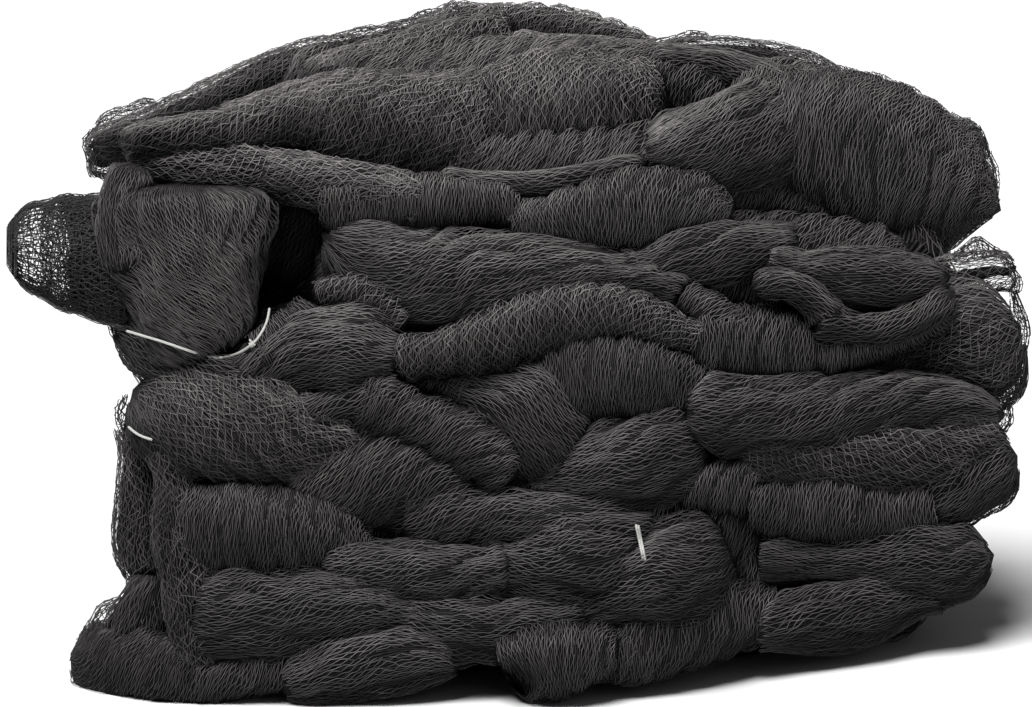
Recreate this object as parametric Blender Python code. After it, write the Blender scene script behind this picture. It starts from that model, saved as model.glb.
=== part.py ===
"""Pond netting: a long black net, gathered into a soft rope and heaped back and forth.

The heap is one solid, joined from lumpy folds. Each fold is one row of the table
FOLDS, given in millimetres as it is seen from the front, along a sight line that
looks SIGHT_ELEVATION down on the heap. Three bits of white twine lie on it.
World frame: metres, +Z up, the front of the heap towards -Y, the origin at the
centre of the heap's box on the floor.
"""
import math
from collections import namedtuple

import bmesh
import bpy
import numpy as np
from mathutils import Vector
from mathutils.bvhtree import BVHTree

# Driving sizes of the heap, in millimetres unless the name says otherwise
MM = 0.001
SEEN_WIDTH = 1032.0
SEEN_HEIGHT = 706.0
SIGHT_ELEVATION = math.radians(15.0)
SIGHT_DISTANCE = 6000.0
HEAP_DEPTH = 610.0
FRONT_LEAN = 80.0
CREST_SET_BACK = 290.0
CREST_POWER = 7.0
RIGHT_SET_BACK = 200.0
RIGHT_START = 560.0
RIGHT_END = 1010.0
LEFT_SET_BACK = 130.0
LEFT_START = 250.0
BACK_WIDTH_SHARE = 0.84
BACK_HEIGHT_SHARE = 0.93
BACK_SHIFT = 30.0
BACK_SET_BACK = 70.0
FOLD_DEPTH_RATIO = 0.85
CENTRE_SHIFT_X = -7.5
CENTRE_SHIFT_Y = -304.0

# How finely each fold is drawn, and how the union is meshed
RINGS = 26
SIDES = 18
END_CAP = 0.13
FULLNESS = 0.8
VOXEL = 6.5 * MM
CLOSE_GAPS = 5.0 * MM
SMOOTH_STEPS = 2
SMOOTH_FACTOR = 0.5
KEEP_RATIO = 0.05

# Relief of the gathered net on a fold: shares of its half thickness, waves along the
# fold, pleats around it, and the step of phase from one fold to the next
LUMP_SHARE = 0.07
LUMP_WAVES = 6.3
PLEAT_SHARE = 0.05
PLEATS_AROUND = 5
PLEAT_WAVES = 11.0
PLEAT_DRIFT = 4.0
PHASE_STEP = 1.7

# Turns of the rope at the heap's ends: how far their own ends draw in, and their wave
TURN_DRAW_IN = 26.0
TURN_WAVE = 8.0
TURN_WAVES = 5.0

# The net flap at the heap's left, cut through at twice the pitch of the net
FLAP_ROOT = (128.0, 262.0)
FLAP_TIP = (5.0, 238.0)
FLAP_HALF = 66.0
FLAP_TAPER = 0.25
FLAP_PROUD = 22.0
FLAP_BELLY = 26.0
FLAP_SWEEP = 52.0
FLAP_COLUMNS = 10
FLAP_ROWS = 10
FLAP_ROUND = 0.9
FLAP_HOLE = 0.70
FLAP_THICKNESS = 3.0 * MM

# White twine
TWINE_RADIUS = 1.5 * MM
KNOT_SWELL = 0.9
KNOT_REACH = 4.0
SEAT_GAP = 0.7 * MM
TWINE_STEP = 3.0 * MM
TAUT_SLOPE = 0.8
EASE_STEPS = 6
SEEK_RANGE = 400.0
TWINE_SIDES_STEP = 2

# Colours, linear
BLACK_NET = (0.018, 0.016, 0.016, 1.0)
WHITE_TWINE = (0.62, 0.62, 0.60, 1.0)

# Start and end of a fold's middle line seen from the front (right of the heap's left
# tip, below its crest), how far the line bows up at its middle, how far it waves,
# half its thickness, where it is thickest (0 to 1), the share of that at its two ends,
# and how far it stands proud of the heap's face.
Fold = namedtuple("Fold", "name x0 y0 x1 y1 bow wave half peak tip0 tip1 proud")

FOLDS = (
    # crown of the heap
    Fold("crest_left", 88, 146, 480, 28, 9, 0, 26, 0.70, 0.5, 0.7, -10),
    Fold("left_fold", 118, 138, 345, 118, 3, 0, 18, 0.50, 0.6, 0.8, 25),
    Fold("under_fold", 140, 160, 330, 178, 0, 0, 20, 0.50, 0.6, 0.6, -35),
    Fold("drape_left", 205, 118, 500, 120, -14, 0, 66, 0.72, 0.2, 0.85, 25),
    Fold("drape_mid", 478, 122, 668, 108, -2, 0, 64, 0.45, 0.8, 0.5, 22),
    Fold("crest_band", 318, 82, 512, 34, 2, 0, 28, 0.65, 0.4, 0.8, 5),
    Fold("crest_mid", 455, 28, 655, 54, 12, 0, 24, 0.45, 0.7, 0.5, 0),
    Fold("swirl_band", 500, 52, 705, 68, 3, 0, 16, 0.50, 0.6, 0.6, 8),
    Fold("swirl_over", 650, 66, 812, 132, 26, 0, 21, 0.65, 0.5, 0.7, 28),
    Fold("swirl_body", 640, 150, 824, 114, -10, 0, 51, 0.55, 0.35, 0.35, 34),
    Fold("drape_right", 712, 150, 1003, 210, 12, 0, 93, 0.38, 0.75, 0.12, 0),
    Fold("ear", 945, 158, 982, 128, 0, 0, 19, 0.50, 0.6, 0.6, -45),
    Fold("crest_right", 650, 50, 930, 132, 24, 0, 16, 0.50, 0.6, 0.5, -45),
    Fold("corner_lobe", 86, 162, 200, 124, 0, 0, 26, 0.40, 0.6, 0.8, -52),
    # ridges under the crown
    Fold("ridge_left", 312, 206, 530, 206, -2, 0, 26, 0.50, 0.5, 0.3, 18),
    Fold("skirt", 255, 168, 385, 212, 4, 0, 22, 0.60, 0.3, 0.7, 20),
    Fold("tuck_band", 430, 192, 648, 160, -4, 0, 12, 0.50, 0.5, 0.6, 14),
    Fold("ridge_mid", 512, 232, 734, 212, 14, 0, 38, 0.55, 0.25, 0.2, 24),
    Fold("long_leaf", 318, 232, 700, 300, -12, -18, 43, 0.30, 0.2, 0.25, 20),
    Fold("right_leaf", 610, 268, 800, 252, 2, 0, 32, 0.50, 0.3, 0.4, 10),
    Fold("slant_roll", 392, 366, 708, 346, 36, -9, 27, 0.40, 0.5, 0.4, 26),
    # middle of the face
    Fold("pillow", 432, 392, 592, 436, 0, 0, 60, 0.62, 0.35, 0.5, 14),
    Fold("arch", 535, 384, 722, 400, 16, 0, 38, 0.50, 0.7, 0.35, 30),
    Fold("egg", 518, 482, 712, 448, 2, 0, 51, 0.62, 0.1, 0.4, 20),
    Fold("elbow_hair", 355, 404, 512, 480, 10, 0, 28, 0.50, 0.5, 0.5, 22),
    Fold("arcs", 288, 494, 472, 494, 12, 0, 34, 0.55, 0.35, 0.35, 14),
    Fold("tuck_left", 290, 442, 440, 428, 0, 0, 13, 0.50, 0.5, 0.5, 2),
    Fold("fan_leaf", 412, 528, 650, 538, 14, 0, 26, 0.55, 0.5, 0.5, 12),
    Fold("leaf_mid", 478, 560, 650, 540, -14, 0, 42, 0.55, 0.3, 0.35, 16),
    Fold("eye_leaf", 318, 576, 515, 566, 0, 0, 30, 0.45, 0.15, 0.35, 18),
    Fold("s_leaf", 388, 630, 592, 612, -4, 0, 34, 0.38, 0.2, 0.35, 12),
    Fold("flank_leaf", 556, 620, 728, 545, 0, 0, 55, 0.65, 0.2, 0.5, 22),
    Fold("foot_mid", 598, 664, 786, 602, 4, 0, 34, 0.50, 0.5, 0.3, 8),
    # right of the face
    Fold("hook_leaf", 762, 270, 958, 270, -12, 0, 30, 0.62, 0.2, 0.25, 24),
    Fold("hook_turn", 752, 288, 826, 322, 14, 0, 13, 0.50, 0.6, 0.8, 30),
    Fold("hook_run", 812, 318, 962, 286, -26, 0, 14, 0.40, 0.8, 0.4, 26),
    Fold("narrow_fold", 684, 296, 742, 352, 6, 0, 20, 0.50, 0.5, 0.7, 12),
    Fold("tuck_right", 692, 346, 842, 350, -2, 0, 38, 0.45, 0.5, 0.3, 16),
    Fold("slim_roll", 815, 358, 962, 304, -14, 0, 15, 0.50, 0.6, 0.5, 12),
    Fold("side_drape", 872, 386, 1022, 326, 0, 0, 64, 0.74, 0.2, 0.5, 0),
    Fold("fringe_lobe", 925, 278, 1018, 266, 0, 0, 20, 0.60, 0.6, 0.5, -34),
    Fold("broad_roll", 684, 408, 1006, 414, 0, -8, 34, 0.30, 0.3, 0.4, 30),
    Fold("slope_roll", 768, 450, 1008, 436, -16, 0, 33, 0.40, 0.3, 0.25, 22),
    Fold("small_fold", 672, 490, 786, 502, 4, 0, 20, 0.50, 0.4, 0.5, 10),
    Fold("belly_roll", 748, 508, 935, 510, -8, 0, 25, 0.50, 0.4, 0.7, 20),
    Fold("belly_end", 880, 512, 1018, 456, 2, 0, 43, 0.65, 0.5, 0.45, 14),
    Fold("low_roll", 756, 556, 994, 554, -12, 0, 40, 0.75, 0.35, 0.45, 16),
    Fold("foot_right", 756, 634, 945, 590, -4, 0, 28, 0.45, 0.25, 0.35, 10),
    Fold("crease_fold", 746, 518, 744, 606, 0, 0, 16, 0.60, 0.5, 0.8, -22),
    # left of the face
    Fold("bundle", 180, 178, 221, 362, -6, 0, 82, 0.25, 0.85, 0.15, 45),
    Fold("bundle_curl", 140, 162, 128, 268, -8, 0, 24, 0.50, 0.5, 0.6, 50),
    Fold("under_bundle", 112, 318, 262, 392, -6, 0, 26, 0.50, 0.4, 0.6, 4),
    Fold("inner_curl", 256, 360, 312, 308, -5, 0, 18, 0.50, 0.6, 0.6, 12),
    Fold("left_drape", 132, 385, 384, 446, -22, 0, 58, 0.35, 0.3, 0.2, 26),
    Fold("elbow", 238, 386, 408, 370, 20, 0, 48, 0.66, 0.3, 0.5, 26),
    Fold("fan", 308, 296, 408, 322, 14, 0, 15, 0.50, 0.6, 0.5, 16),
    Fold("seam_fold", 280, 416, 410, 400, 0, 0, 13, 0.60, 0.5, 0.7, 16),
    Fold("outer_pleat", 132, 430, 140, 578, -5, 0, 25, 0.65, 0.7, 0.3, -20),
    Fold("inner_pleat", 168, 432, 202, 668, -6, 0, 20, 0.55, 0.6, 0.4, 10),
    Fold("hair_roll", 168, 534, 374, 540, 0, 0, 45, 0.45, 0.5, 0.25, 26),
    Fold("pillow_low", 180, 608, 424, 612, -6, 0, 46, 0.38, 0.35, 0.2, 22),
    Fold("foot_left", 71, 654, 240, 684, -2, 0, 45, 0.40, 0.5, 0.3, 10),
    Fold("foot_neck", 150, 572, 132, 650, 0, 0, 26, 0.60, 0.5, 0.9, -4),
    Fold("foot_hem", 188, 682, 312, 656, -6, 0, 20, 0.50, 0.6, 0.5, 6),
    Fold("curved_roll", 280, 690, 462, 668, 12, 0, 33, 0.40, 0.3, 0.15, 18),
    Fold("swirl_left", 322, 602, 420, 622, -4, 0, 16, 0.50, 0.3, 0.4, 10),
    Fold("open_curl", 506, 680, 620, 652, 8, 0, 35, 0.45, 0.7, 0.5, 30),
    Fold("knee", 590, 640, 660, 668, 0, 0, 20, 0.50, 0.5, 0.5, 0),
    # rope behind the face, which the folds lie on
    Fold("core_floor", 150, 640, 870, 606, 0, 0, 60, 0.50, 0.9, 0.8, -100),
    Fold("core_low", 150, 520, 950, 530, 0, 0, 80, 0.50, 0.9, 0.8, -26),
    Fold("core_mid", 160, 400, 970, 400, 0, 0, 80, 0.50, 0.9, 0.8, -26),
    Fold("core_recess", 140, 250, 330, 250, 0, 0, 76, 0.50, 0.9, 0.9, -70),
    Fold("core_upper", 300, 290, 950, 300, 0, 0, 76, 0.50, 0.8, 0.8, -28),
    Fold("core_crown", 300, 190, 940, 200, 0, 0, 70, 0.50, 0.8, 0.7, -26),
    Fold("core_crest", 260, 104, 860, 118, 10, 0, 60, 0.50, 0.6, 0.6, -24),
)

# Folds that only the front shows
FRONT_ONLY = ("bundle", "bundle_curl", "ear", "outer_pleat", "crest_left", "crest_right", "foot_neck",
              "corner_lobe", "fringe_lobe")

# Turns at the heap's two ends: height of the rope's middle, how far it reaches out,
# half its thickness, and where it starts and stops from front to back
Turn = namedtuple("Turn", "height reach half front back")

TURNS = (
    Turn(62, -398, 62, 50, 520),
    Turn(150, -388, 54, 60, 540),
    Turn(238, -382, 54, 70, 540),
    Turn(322, -398, 52, 90, 520),
    Turn(400, -400, 50, 110, 500),
    Turn(470, -380, 46, 140, 460),
    Turn(60, 446, 62, 200, 540),
    Turn(150, 472, 54, 200, 560),
    Turn(236, 476, 54, 200, 560),
    Turn(322, 480, 52, 210, 540),
    Turn(402, 450, 50, 220, 520),
    Turn(470, 402, 46, 240, 460),
)

# Heart of the heap, a rounded block: its middle, and half its width, depth and height
HEART_MIDDLE = (0.0, 310.0, 262.0)
HEART_HALF = (385.0, 215.0, 278.0)
HEART_POWER = 0.72

# Mouth of the curled end at the foot of the heap, seen from the front
MOUTH_PLACE = (512.0, 681.0)
MOUTH_HALF = (17.0, 15.0, 24.0)
MOUTH_BACK = -6.0
MOUTH_TURN = 0.5

# Where each twine shows, as it is seen from the front: its route, and its knot if it has one
Tie = namedtuple("Tie", "name route knot")

TIES = (
    Tie("end_tie", ((126, 331), (160, 341), (195, 353), (221, 359), (242, 352), (257, 340), (267, 322),
                    (269, 308)), (251, 345)),
    Tie("front_tie", ((636, 524), (638, 534), (641, 548), (643, 559)), None),
    Tie("side_tie", ((128, 427), (134, 433), (141, 437), (152, 440)), None),
)


def sight(right, down, back):
    """World place of a point seen at (right, down) that lies `back` behind the front line."""
    across = right - SEEN_WIDTH / 2
    up = SEEN_HEIGHT - down
    slope = up / SIGHT_DISTANCE
    cos_e = math.cos(SIGHT_ELEVATION)
    sin_e = math.sin(SIGHT_ELEVATION)
    level = back + SIGHT_DISTANCE * cos_e
    drop = level * (slope * cos_e - sin_e) / (cos_e + slope * sin_e)
    distance = level * cos_e - drop * sin_e
    return np.stack([across * distance / SIGHT_DISTANCE + 0 * drop, back + 0 * drop,
                     drop + SIGHT_DISTANCE * sin_e], axis=-1)


def smooth_step(value):
    """0 below 0, 1 above 1, and a soft S between."""
    value = np.clip(value, 0.0, 1.0)
    return value * value * (3.0 - 2.0 * value)


def face_depth(right, down, right_set_back):
    """How far the heap's face lies behind the front line at a place seen from the front."""
    height = np.clip((SEEN_HEIGHT - down) / SEEN_HEIGHT, 0.0, 1.0)
    lean = FRONT_LEAN * height + CREST_SET_BACK * height ** CREST_POWER
    turned = right_set_back * smooth_step((right - RIGHT_START) / (RIGHT_END - RIGHT_START))
    rounded = LEFT_SET_BACK * np.clip((LEFT_START - right) / LEFT_START, 0.0, 1.0) ** 2
    return lean + turned + rounded


def fold_half(fold, t):
    """Half thickness along a fold: thickest at its peak, thinner at its tips, round ends."""
    skew = math.log(0.5) / math.log(fold.peak)
    swell = np.clip(np.sin(math.pi * t ** skew), 0.0, 1.0) ** FULLNESS
    tip = fold.tip0 * (1.0 - t) + fold.tip1 * t
    near_end = np.minimum(np.minimum(t, 1.0 - t) / END_CAP, 1.0)
    round_end = np.sqrt(1.0 - (1.0 - near_end) ** 2)
    return fold.half * (tip + (1.0 - tip) * swell) * round_end


def relief(t, angle, seed):
    """Share by which a gathered fold swells or sinks at a place along and around it."""
    phase = PHASE_STEP * seed
    lump = np.sin(LUMP_WAVES * t + phase + np.sin(2.0 * angle + seed))
    pleat = np.sin(PLEATS_AROUND * angle + PLEAT_DRIFT * t + phase) * np.sin(PLEAT_WAVES * t + seed + angle)
    return 1.0 + LUMP_SHARE * lump + PLEAT_SHARE * pleat


def fold_rings(fold, seed, right_set_back):
    """Points of a fold's skin, one ring of SIDES points for each step along its middle line."""
    t = np.linspace(0.0, 1.0, RINGS)
    run = np.array([fold.x1 - fold.x0, fold.y1 - fold.y0], dtype=float)
    normal = np.array([run[1], -run[0]]) / np.hypot(*run)
    rise = fold.bow * 4.0 * t * (1.0 - t) + fold.wave * np.sin(2.0 * math.pi * t)
    right = fold.x0 + run[0] * t + normal[0] * rise
    down = fold.y0 + run[1] * t + normal[1] * rise
    half = fold_half(fold, t)
    depth = face_depth(right, down, right_set_back) - fold.proud + FOLD_DEPTH_RATIO * fold.half
    angle = np.linspace(0.0, 2.0 * math.pi, SIDES, endpoint=False)
    grid_t, grid_a = np.meshgrid(t, angle, indexing="ij")
    size = half[:, None] * relief(grid_t, grid_a, seed)
    slope = np.gradient(np.stack([right, down], axis=1), axis=0)
    slope /= np.linalg.norm(slope, axis=1)[:, None]
    side = np.stack([slope[:, 1], -slope[:, 0]], axis=1)
    seen_right = right[:, None] + side[:, :1] * size * np.cos(grid_a)
    seen_down = down[:, None] + side[:, 1:] * size * np.cos(grid_a)
    back = depth[:, None] + FOLD_DEPTH_RATIO * size * np.sin(grid_a)
    return sight(seen_right, seen_down, back)


def turn_rings(turn, seed):
    """Points of the skin of one turn of the rope at an end of the heap, front to back."""
    t = np.linspace(0.0, 1.0, RINGS)
    near_end = np.minimum(np.minimum(t, 1.0 - t) / END_CAP, 1.0)
    half = turn.half * np.sqrt(1.0 - (1.0 - near_end) ** 2)
    outward = math.copysign(1.0, turn.reach)
    middle = abs(turn.reach) - turn.half - TURN_DRAW_IN * (2.0 * t - 1.0) ** 2
    along = turn.front + (turn.back - turn.front) * t
    height = turn.height + TURN_WAVE * np.sin(TURN_WAVES * t + PHASE_STEP * seed)
    angle = np.linspace(0.0, 2.0 * math.pi, SIDES, endpoint=False)
    grid_t, grid_a = np.meshgrid(t, angle, indexing="ij")
    size = half[:, None] * relief(grid_t, grid_a, seed)
    return np.stack([outward * (middle[:, None] + size * np.cos(grid_a)), along[:, None] + 0.0 * size,
                     height[:, None] + size * np.sin(grid_a)], axis=-1)


def heart_rings():
    """Points of the rounded block at the heart of the heap."""
    t = np.linspace(0.0, math.pi, RINGS)
    angle = np.linspace(0.0, 2.0 * math.pi, SIDES * 2, endpoint=False)
    grid_t, grid_a = np.meshgrid(t, angle, indexing="ij")

    def power(value):
        return np.sign(value) * np.abs(value) ** HEART_POWER

    unit = np.stack([power(np.cos(grid_t)), power(np.sin(grid_t)) * power(np.cos(grid_a)),
                     power(np.sin(grid_t)) * power(np.sin(grid_a))], axis=-1)
    return np.array(HEART_MIDDLE) + np.array(HEART_HALF) * unit


def turned_round(points):
    """The same points seen from behind: turned half round about the heap's upright middle."""
    middle = np.array([0.0, HEAP_DEPTH / 2, 0.0])
    share = np.array([-BACK_WIDTH_SHARE, -1.0, BACK_HEIGHT_SHARE])
    return (points - middle) * share + middle + np.array([BACK_SHIFT, 0.0, 0.0])


def to_world(points):
    """Millimetres on the laying-out frame to metres on the object's frame."""
    return (points + np.array([CENTRE_SHIFT_X, CENTRE_SHIFT_Y, 0.0])) * MM


def ring_mesh(rings, verts, faces):
    """Adds one closed skin, rings of points joined by quads with a pole at each end."""
    steps, sides = rings.shape[:2]
    start = len(verts)
    verts.extend(map(tuple, rings[1:-1].reshape(-1, 3)))
    first_pole = len(verts)
    verts.append(tuple(rings[0].mean(axis=0)))
    verts.append(tuple(rings[-1].mean(axis=0)))
    for ring in range(steps - 3):
        for side in range(sides):
            across = (side + 1) % sides
            low = start + ring * sides
            faces.append((low + side, low + across, low + sides + across, low + sides + side))
    last = start + (steps - 3) * sides
    for side in range(sides):
        across = (side + 1) % sides
        faces.append((first_pole, start + across, start + side))
        faces.append((first_pole + 1, last + side, last + across))


def material(name, colour, roughness):
    """Principled finish of one sub-part."""
    finish = bpy.data.materials.new(name)
    finish.use_nodes = True
    shader = finish.node_tree.nodes["Principled BSDF"]
    shader.inputs["Base Color"].default_value = colour
    shader.inputs["Roughness"].default_value = roughness
    shader.inputs["Metallic"].default_value = 0.0
    return finish


def mesh_object(name, mesh, finish):
    """Puts a mesh into the scene as a named object."""
    obj = bpy.data.objects.new(name, mesh)
    bpy.context.scene.collection.objects.link(obj)
    mesh.materials.append(finish)
    return obj


def as_cutter(obj):
    """Marks an object as a guide, which isn't part of the model."""
    obj.hide_render = True
    obj.display_type = "WIRE"
    return obj


def consistent_normals(mesh):
    """Turns every closed skin's faces outwards."""
    work = bmesh.new()
    work.from_mesh(mesh)
    bmesh.ops.recalc_face_normals(work, faces=work.faces)
    work.to_mesh(mesh)
    work.free()


def heap_mesh():
    """All folds, turns and the heart, joined by a voxel remesh into one skin."""
    verts = []
    faces = []
    for seed, fold in enumerate(FOLDS):
        ring_mesh(to_world(fold_rings(fold, seed, RIGHT_SET_BACK)), verts, faces)
        if fold.name not in FRONT_ONLY:
            back = fold_rings(fold, seed + len(FOLDS), BACK_SET_BACK)
            ring_mesh(to_world(turned_round(back)), verts, faces)
    for seed, turn in enumerate(TURNS):
        ring_mesh(to_world(turn_rings(turn, seed)), verts, faces)
    ring_mesh(to_world(heart_rings()), verts, faces)
    mesh = bpy.data.meshes.new("folds")
    mesh.from_pydata(verts, [], faces)
    consistent_normals(mesh)
    folds = bpy.data.objects.new("folds", mesh)
    bpy.context.scene.collection.objects.link(folds)
    grow = folds.modifiers.new("grow", "DISPLACE")
    grow.strength = CLOSE_GAPS
    grow.mid_level = 0.0
    remesh = folds.modifiers.new("union", "REMESH")
    remesh.mode = "VOXEL"
    remesh.voxel_size = VOXEL
    shrink = folds.modifiers.new("shrink", "DISPLACE")
    shrink.strength = -CLOSE_GAPS
    shrink.mid_level = 0.0
    soften = folds.modifiers.new("soften", "SMOOTH")
    soften.factor = SMOOTH_FACTOR
    soften.iterations = SMOOTH_STEPS
    bpy.context.view_layer.update()
    depsgraph = bpy.context.evaluated_depsgraph_get()
    joined = bpy.data.meshes.new_from_object(folds.evaluated_get(depsgraph))
    bpy.data.objects.remove(folds)
    keep_largest_skin(joined)
    return joined


def keep_largest_skin(mesh):
    """Drops the skins of sealed hollows, and leaves the outer skin."""
    work = bmesh.new()
    work.from_mesh(mesh)
    unseen = set(work.verts)
    skins = []
    while unseen:
        stack = [unseen.pop()]
        skin = list(stack)
        while stack:
            vert = stack.pop()
            for edge in vert.link_edges:
                other = edge.other_vert(vert)
                if other in unseen:
                    unseen.remove(other)
                    stack.append(other)
                    skin.append(other)
        skins.append(skin)
    skins.sort(key=len)
    for skin in skins[:-1]:
        bmesh.ops.delete(work, geom=skin, context="VERTS")
    work.to_mesh(mesh)
    work.free()


def flap_place(u, v):
    """World place on the flap: u runs from its root to its tip, v from its top to its foot."""
    half = FLAP_HALF * (1.0 - FLAP_TAPER * u) * math.sqrt(1.0 - FLAP_ROUND * u ** 4)
    right = FLAP_ROOT[0] + (FLAP_TIP[0] - FLAP_ROOT[0]) * u
    down = FLAP_ROOT[1] + (FLAP_TIP[1] - FLAP_ROOT[1]) * u + half * v
    depth = face_depth(FLAP_ROOT[0], down, RIGHT_SET_BACK) - FLAP_PROUD
    back = depth + FLAP_BELLY * v * v + FLAP_SWEEP * u * u
    return to_world(sight(np.array(right), np.array(down), np.array(back)))


def flap_sheet():
    """The see-through flap: a curved sheet of diamonds, each one cut through but at its rim."""
    work = bmesh.new()
    corners = {}
    for column in range(FLAP_COLUMNS + 1):
        for row in range(FLAP_ROWS + 1):
            if (column + row) % 2 == 0:
                place = flap_place(column / FLAP_COLUMNS, 2.0 * row / FLAP_ROWS - 1.0)
                corners[column, row] = work.verts.new(place)
    for column in range(FLAP_COLUMNS + 1):
        for row in range(FLAP_ROWS + 1):
            if (column + row) % 2 == 0:
                continue
            around = ((column - 1, row), (column, row - 1), (column + 1, row), (column, row + 1))
            rim = [corners[place] for place in around if place in corners]
            if len(rim) < 4:
                work.faces.new(rim)
                continue
            middle = sum((corner.co for corner in rim), Vector()) / 4.0
            inner = [work.verts.new(middle.lerp(corner.co, FLAP_HOLE)) for corner in rim]
            for side in range(4):
                ahead = (side + 1) % 4
                work.faces.new((rim[side], rim[ahead], inner[ahead], inner[side]))
    bmesh.ops.recalc_face_normals(work, faces=work.faces)
    mesh = bpy.data.meshes.new("flap")
    work.to_mesh(mesh)
    work.free()
    return mesh


def boolean(target, operation, cutter):
    """Adds an exact Boolean to the target."""
    step = target.modifiers.new(operation.lower(), "BOOLEAN")
    step.operation = operation
    step.solver = "EXACT"
    step.object = as_cutter(cutter)


def make_netting():
    """The heap itself, one solid with a flat foot."""
    finish = material("black_net", BLACK_NET, 0.75)
    netting = mesh_object("netting", heap_mesh(), finish)
    thin = netting.modifiers.new("thin", "DECIMATE")
    thin.ratio = KEEP_RATIO
    thin.use_collapse_triangulate = True

    bpy.ops.mesh.primitive_cube_add(size=2.0, location=(0.0, 0.0, 1.0))
    above = bpy.context.object
    above.name = "above_floor"
    boolean(netting, "INTERSECT", above)

    place = to_world(sight(np.array(MOUTH_PLACE[0]), np.array(MOUTH_PLACE[1]), np.array(MOUTH_BACK)))
    bpy.ops.mesh.primitive_uv_sphere_add(segments=14, ring_count=8, radius=1.0, location=place)
    mouth = bpy.context.object
    mouth.name = "mouth"
    mouth.scale = [half * MM for half in MOUTH_HALF]
    mouth.rotation_euler = (0.0, 0.0, MOUTH_TURN)
    boolean(netting, "DIFFERENCE", mouth)

    flap = mesh_object("flap", flap_sheet(), finish)
    wall = flap.modifiers.new("wall", "SOLIDIFY")
    wall.thickness = FLAP_THICKNESS
    wall.offset = 0.0
    boolean(netting, "UNION", flap)
    return netting


def first_hits(surface, near, rays):
    """How far each sight ray runs to the skin, or infinity where it misses."""
    reach = []
    for start, ray in zip(near, rays):
        hit, _, _, distance = surface.ray_cast(Vector(start), Vector(ray))
        reach.append(math.inf if hit is None else distance)
    return np.array(reach)


def pull_taut(reach, step):
    """Lets the twine dip no faster than TAUT_SLOPE, then eases it forward over the hollows."""
    for _ in range(len(reach)):
        reach[1:] = np.minimum(reach[1:], reach[:-1] + step * TAUT_SLOPE)
        reach[:-1] = np.minimum(reach[:-1], reach[1:] + step * TAUT_SLOPE)
    for _ in range(EASE_STEPS):
        reach[1:-1] = np.minimum(reach[1:-1], (reach[:-2] + reach[2:]) / 2)
    return reach


def seat_route(route, knot, surface):
    """Points and radii of a twine that lies on the heap's skin under the seen route."""
    seen = np.array(route, dtype=float)
    length = np.concatenate([[0.0], np.cumsum(np.hypot(*np.diff(seen, axis=0).T))])
    count = int(length[-1] * MM / TWINE_STEP) + 2
    along = np.linspace(0.0, length[-1], count)
    right = np.interp(along, length, seen[:, 0])
    down = np.interp(along, length, seen[:, 1])
    swell = np.zeros(count)
    if knot is not None:
        swell = KNOT_SWELL * np.exp(-((right - knot[0]) ** 2 + (down - knot[1]) ** 2) / KNOT_REACH ** 2)
    radii = TWINE_RADIUS * (1.0 + swell)
    near = to_world(sight(right, down, np.full(count, -SEEK_RANGE)))
    far = to_world(sight(right, down, np.full(count, SEEK_RANGE)))
    rays = (far - near) / np.linalg.norm(far - near, axis=1)[:, None]
    reach = pull_taut(first_hits(surface, near, rays), along[1] * MM)
    points = []
    for start, ray, distance, radius in zip(near, rays, reach, radii):
        point = Vector(start + ray * (distance - radius))
        while surface.find_nearest(point)[3] < radius + SEAT_GAP:
            point -= Vector(ray) * SEAT_GAP
        points.append(point)
    return points, radii


def twine_object(name, points, radii, finish):
    """A plain round twine along seated points, with filled ends."""
    curve = bpy.data.curves.new(name, "CURVE")
    curve.dimensions = "3D"
    curve.bevel_depth = TWINE_RADIUS
    curve.bevel_resolution = TWINE_SIDES_STEP
    curve.use_fill_caps = True
    spline = curve.splines.new("POLY")
    spline.points.add(len(points) - 1)
    for control, place, radius in zip(spline.points, points, radii):
        control.co = (*place, 1.0)
        control.radius = radius / TWINE_RADIUS
    obj = bpy.data.objects.new(name, curve)
    bpy.context.scene.collection.objects.link(obj)
    curve.materials.append(finish)


def make_ties(netting):
    """The three bits of white twine that show, each seated on the heap."""
    bpy.context.view_layer.update()
    surface = BVHTree.FromObject(netting, bpy.context.evaluated_depsgraph_get())
    finish = material("white_twine", WHITE_TWINE, 0.6)
    for tie in TIES:
        points, radii = seat_route(tie.route, tie.knot, surface)
        twine_object(tie.name, points, radii, finish)


def main():
    """Clears the scene and builds the heap and its ties."""
    for obj in list(bpy.data.objects):
        bpy.data.objects.remove(obj)
    netting = make_netting()
    make_ties(netting)


main()
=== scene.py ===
"""Pond netting: the looks of a long black net, gathered into a soft rope and heaped.

Every fold of the heap is a closed skin of packed net, and the net's own strands lie on
it as fine tubes that meet at their knots. Loose net stands at the edges, and three bits
of white twine tie the rope. Sizes in the tables are millimetres, as the heap is seen
from the front along a sight line that looks SIGHT_ELEVATION down on it.
"""
import functools
import math
from collections import namedtuple

import bpy
import numpy as np
from bpy.props import FloatProperty, FloatVectorProperty, IntProperty, PointerProperty
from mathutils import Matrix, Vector
from mathutils.bvhtree import BVHTree


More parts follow.
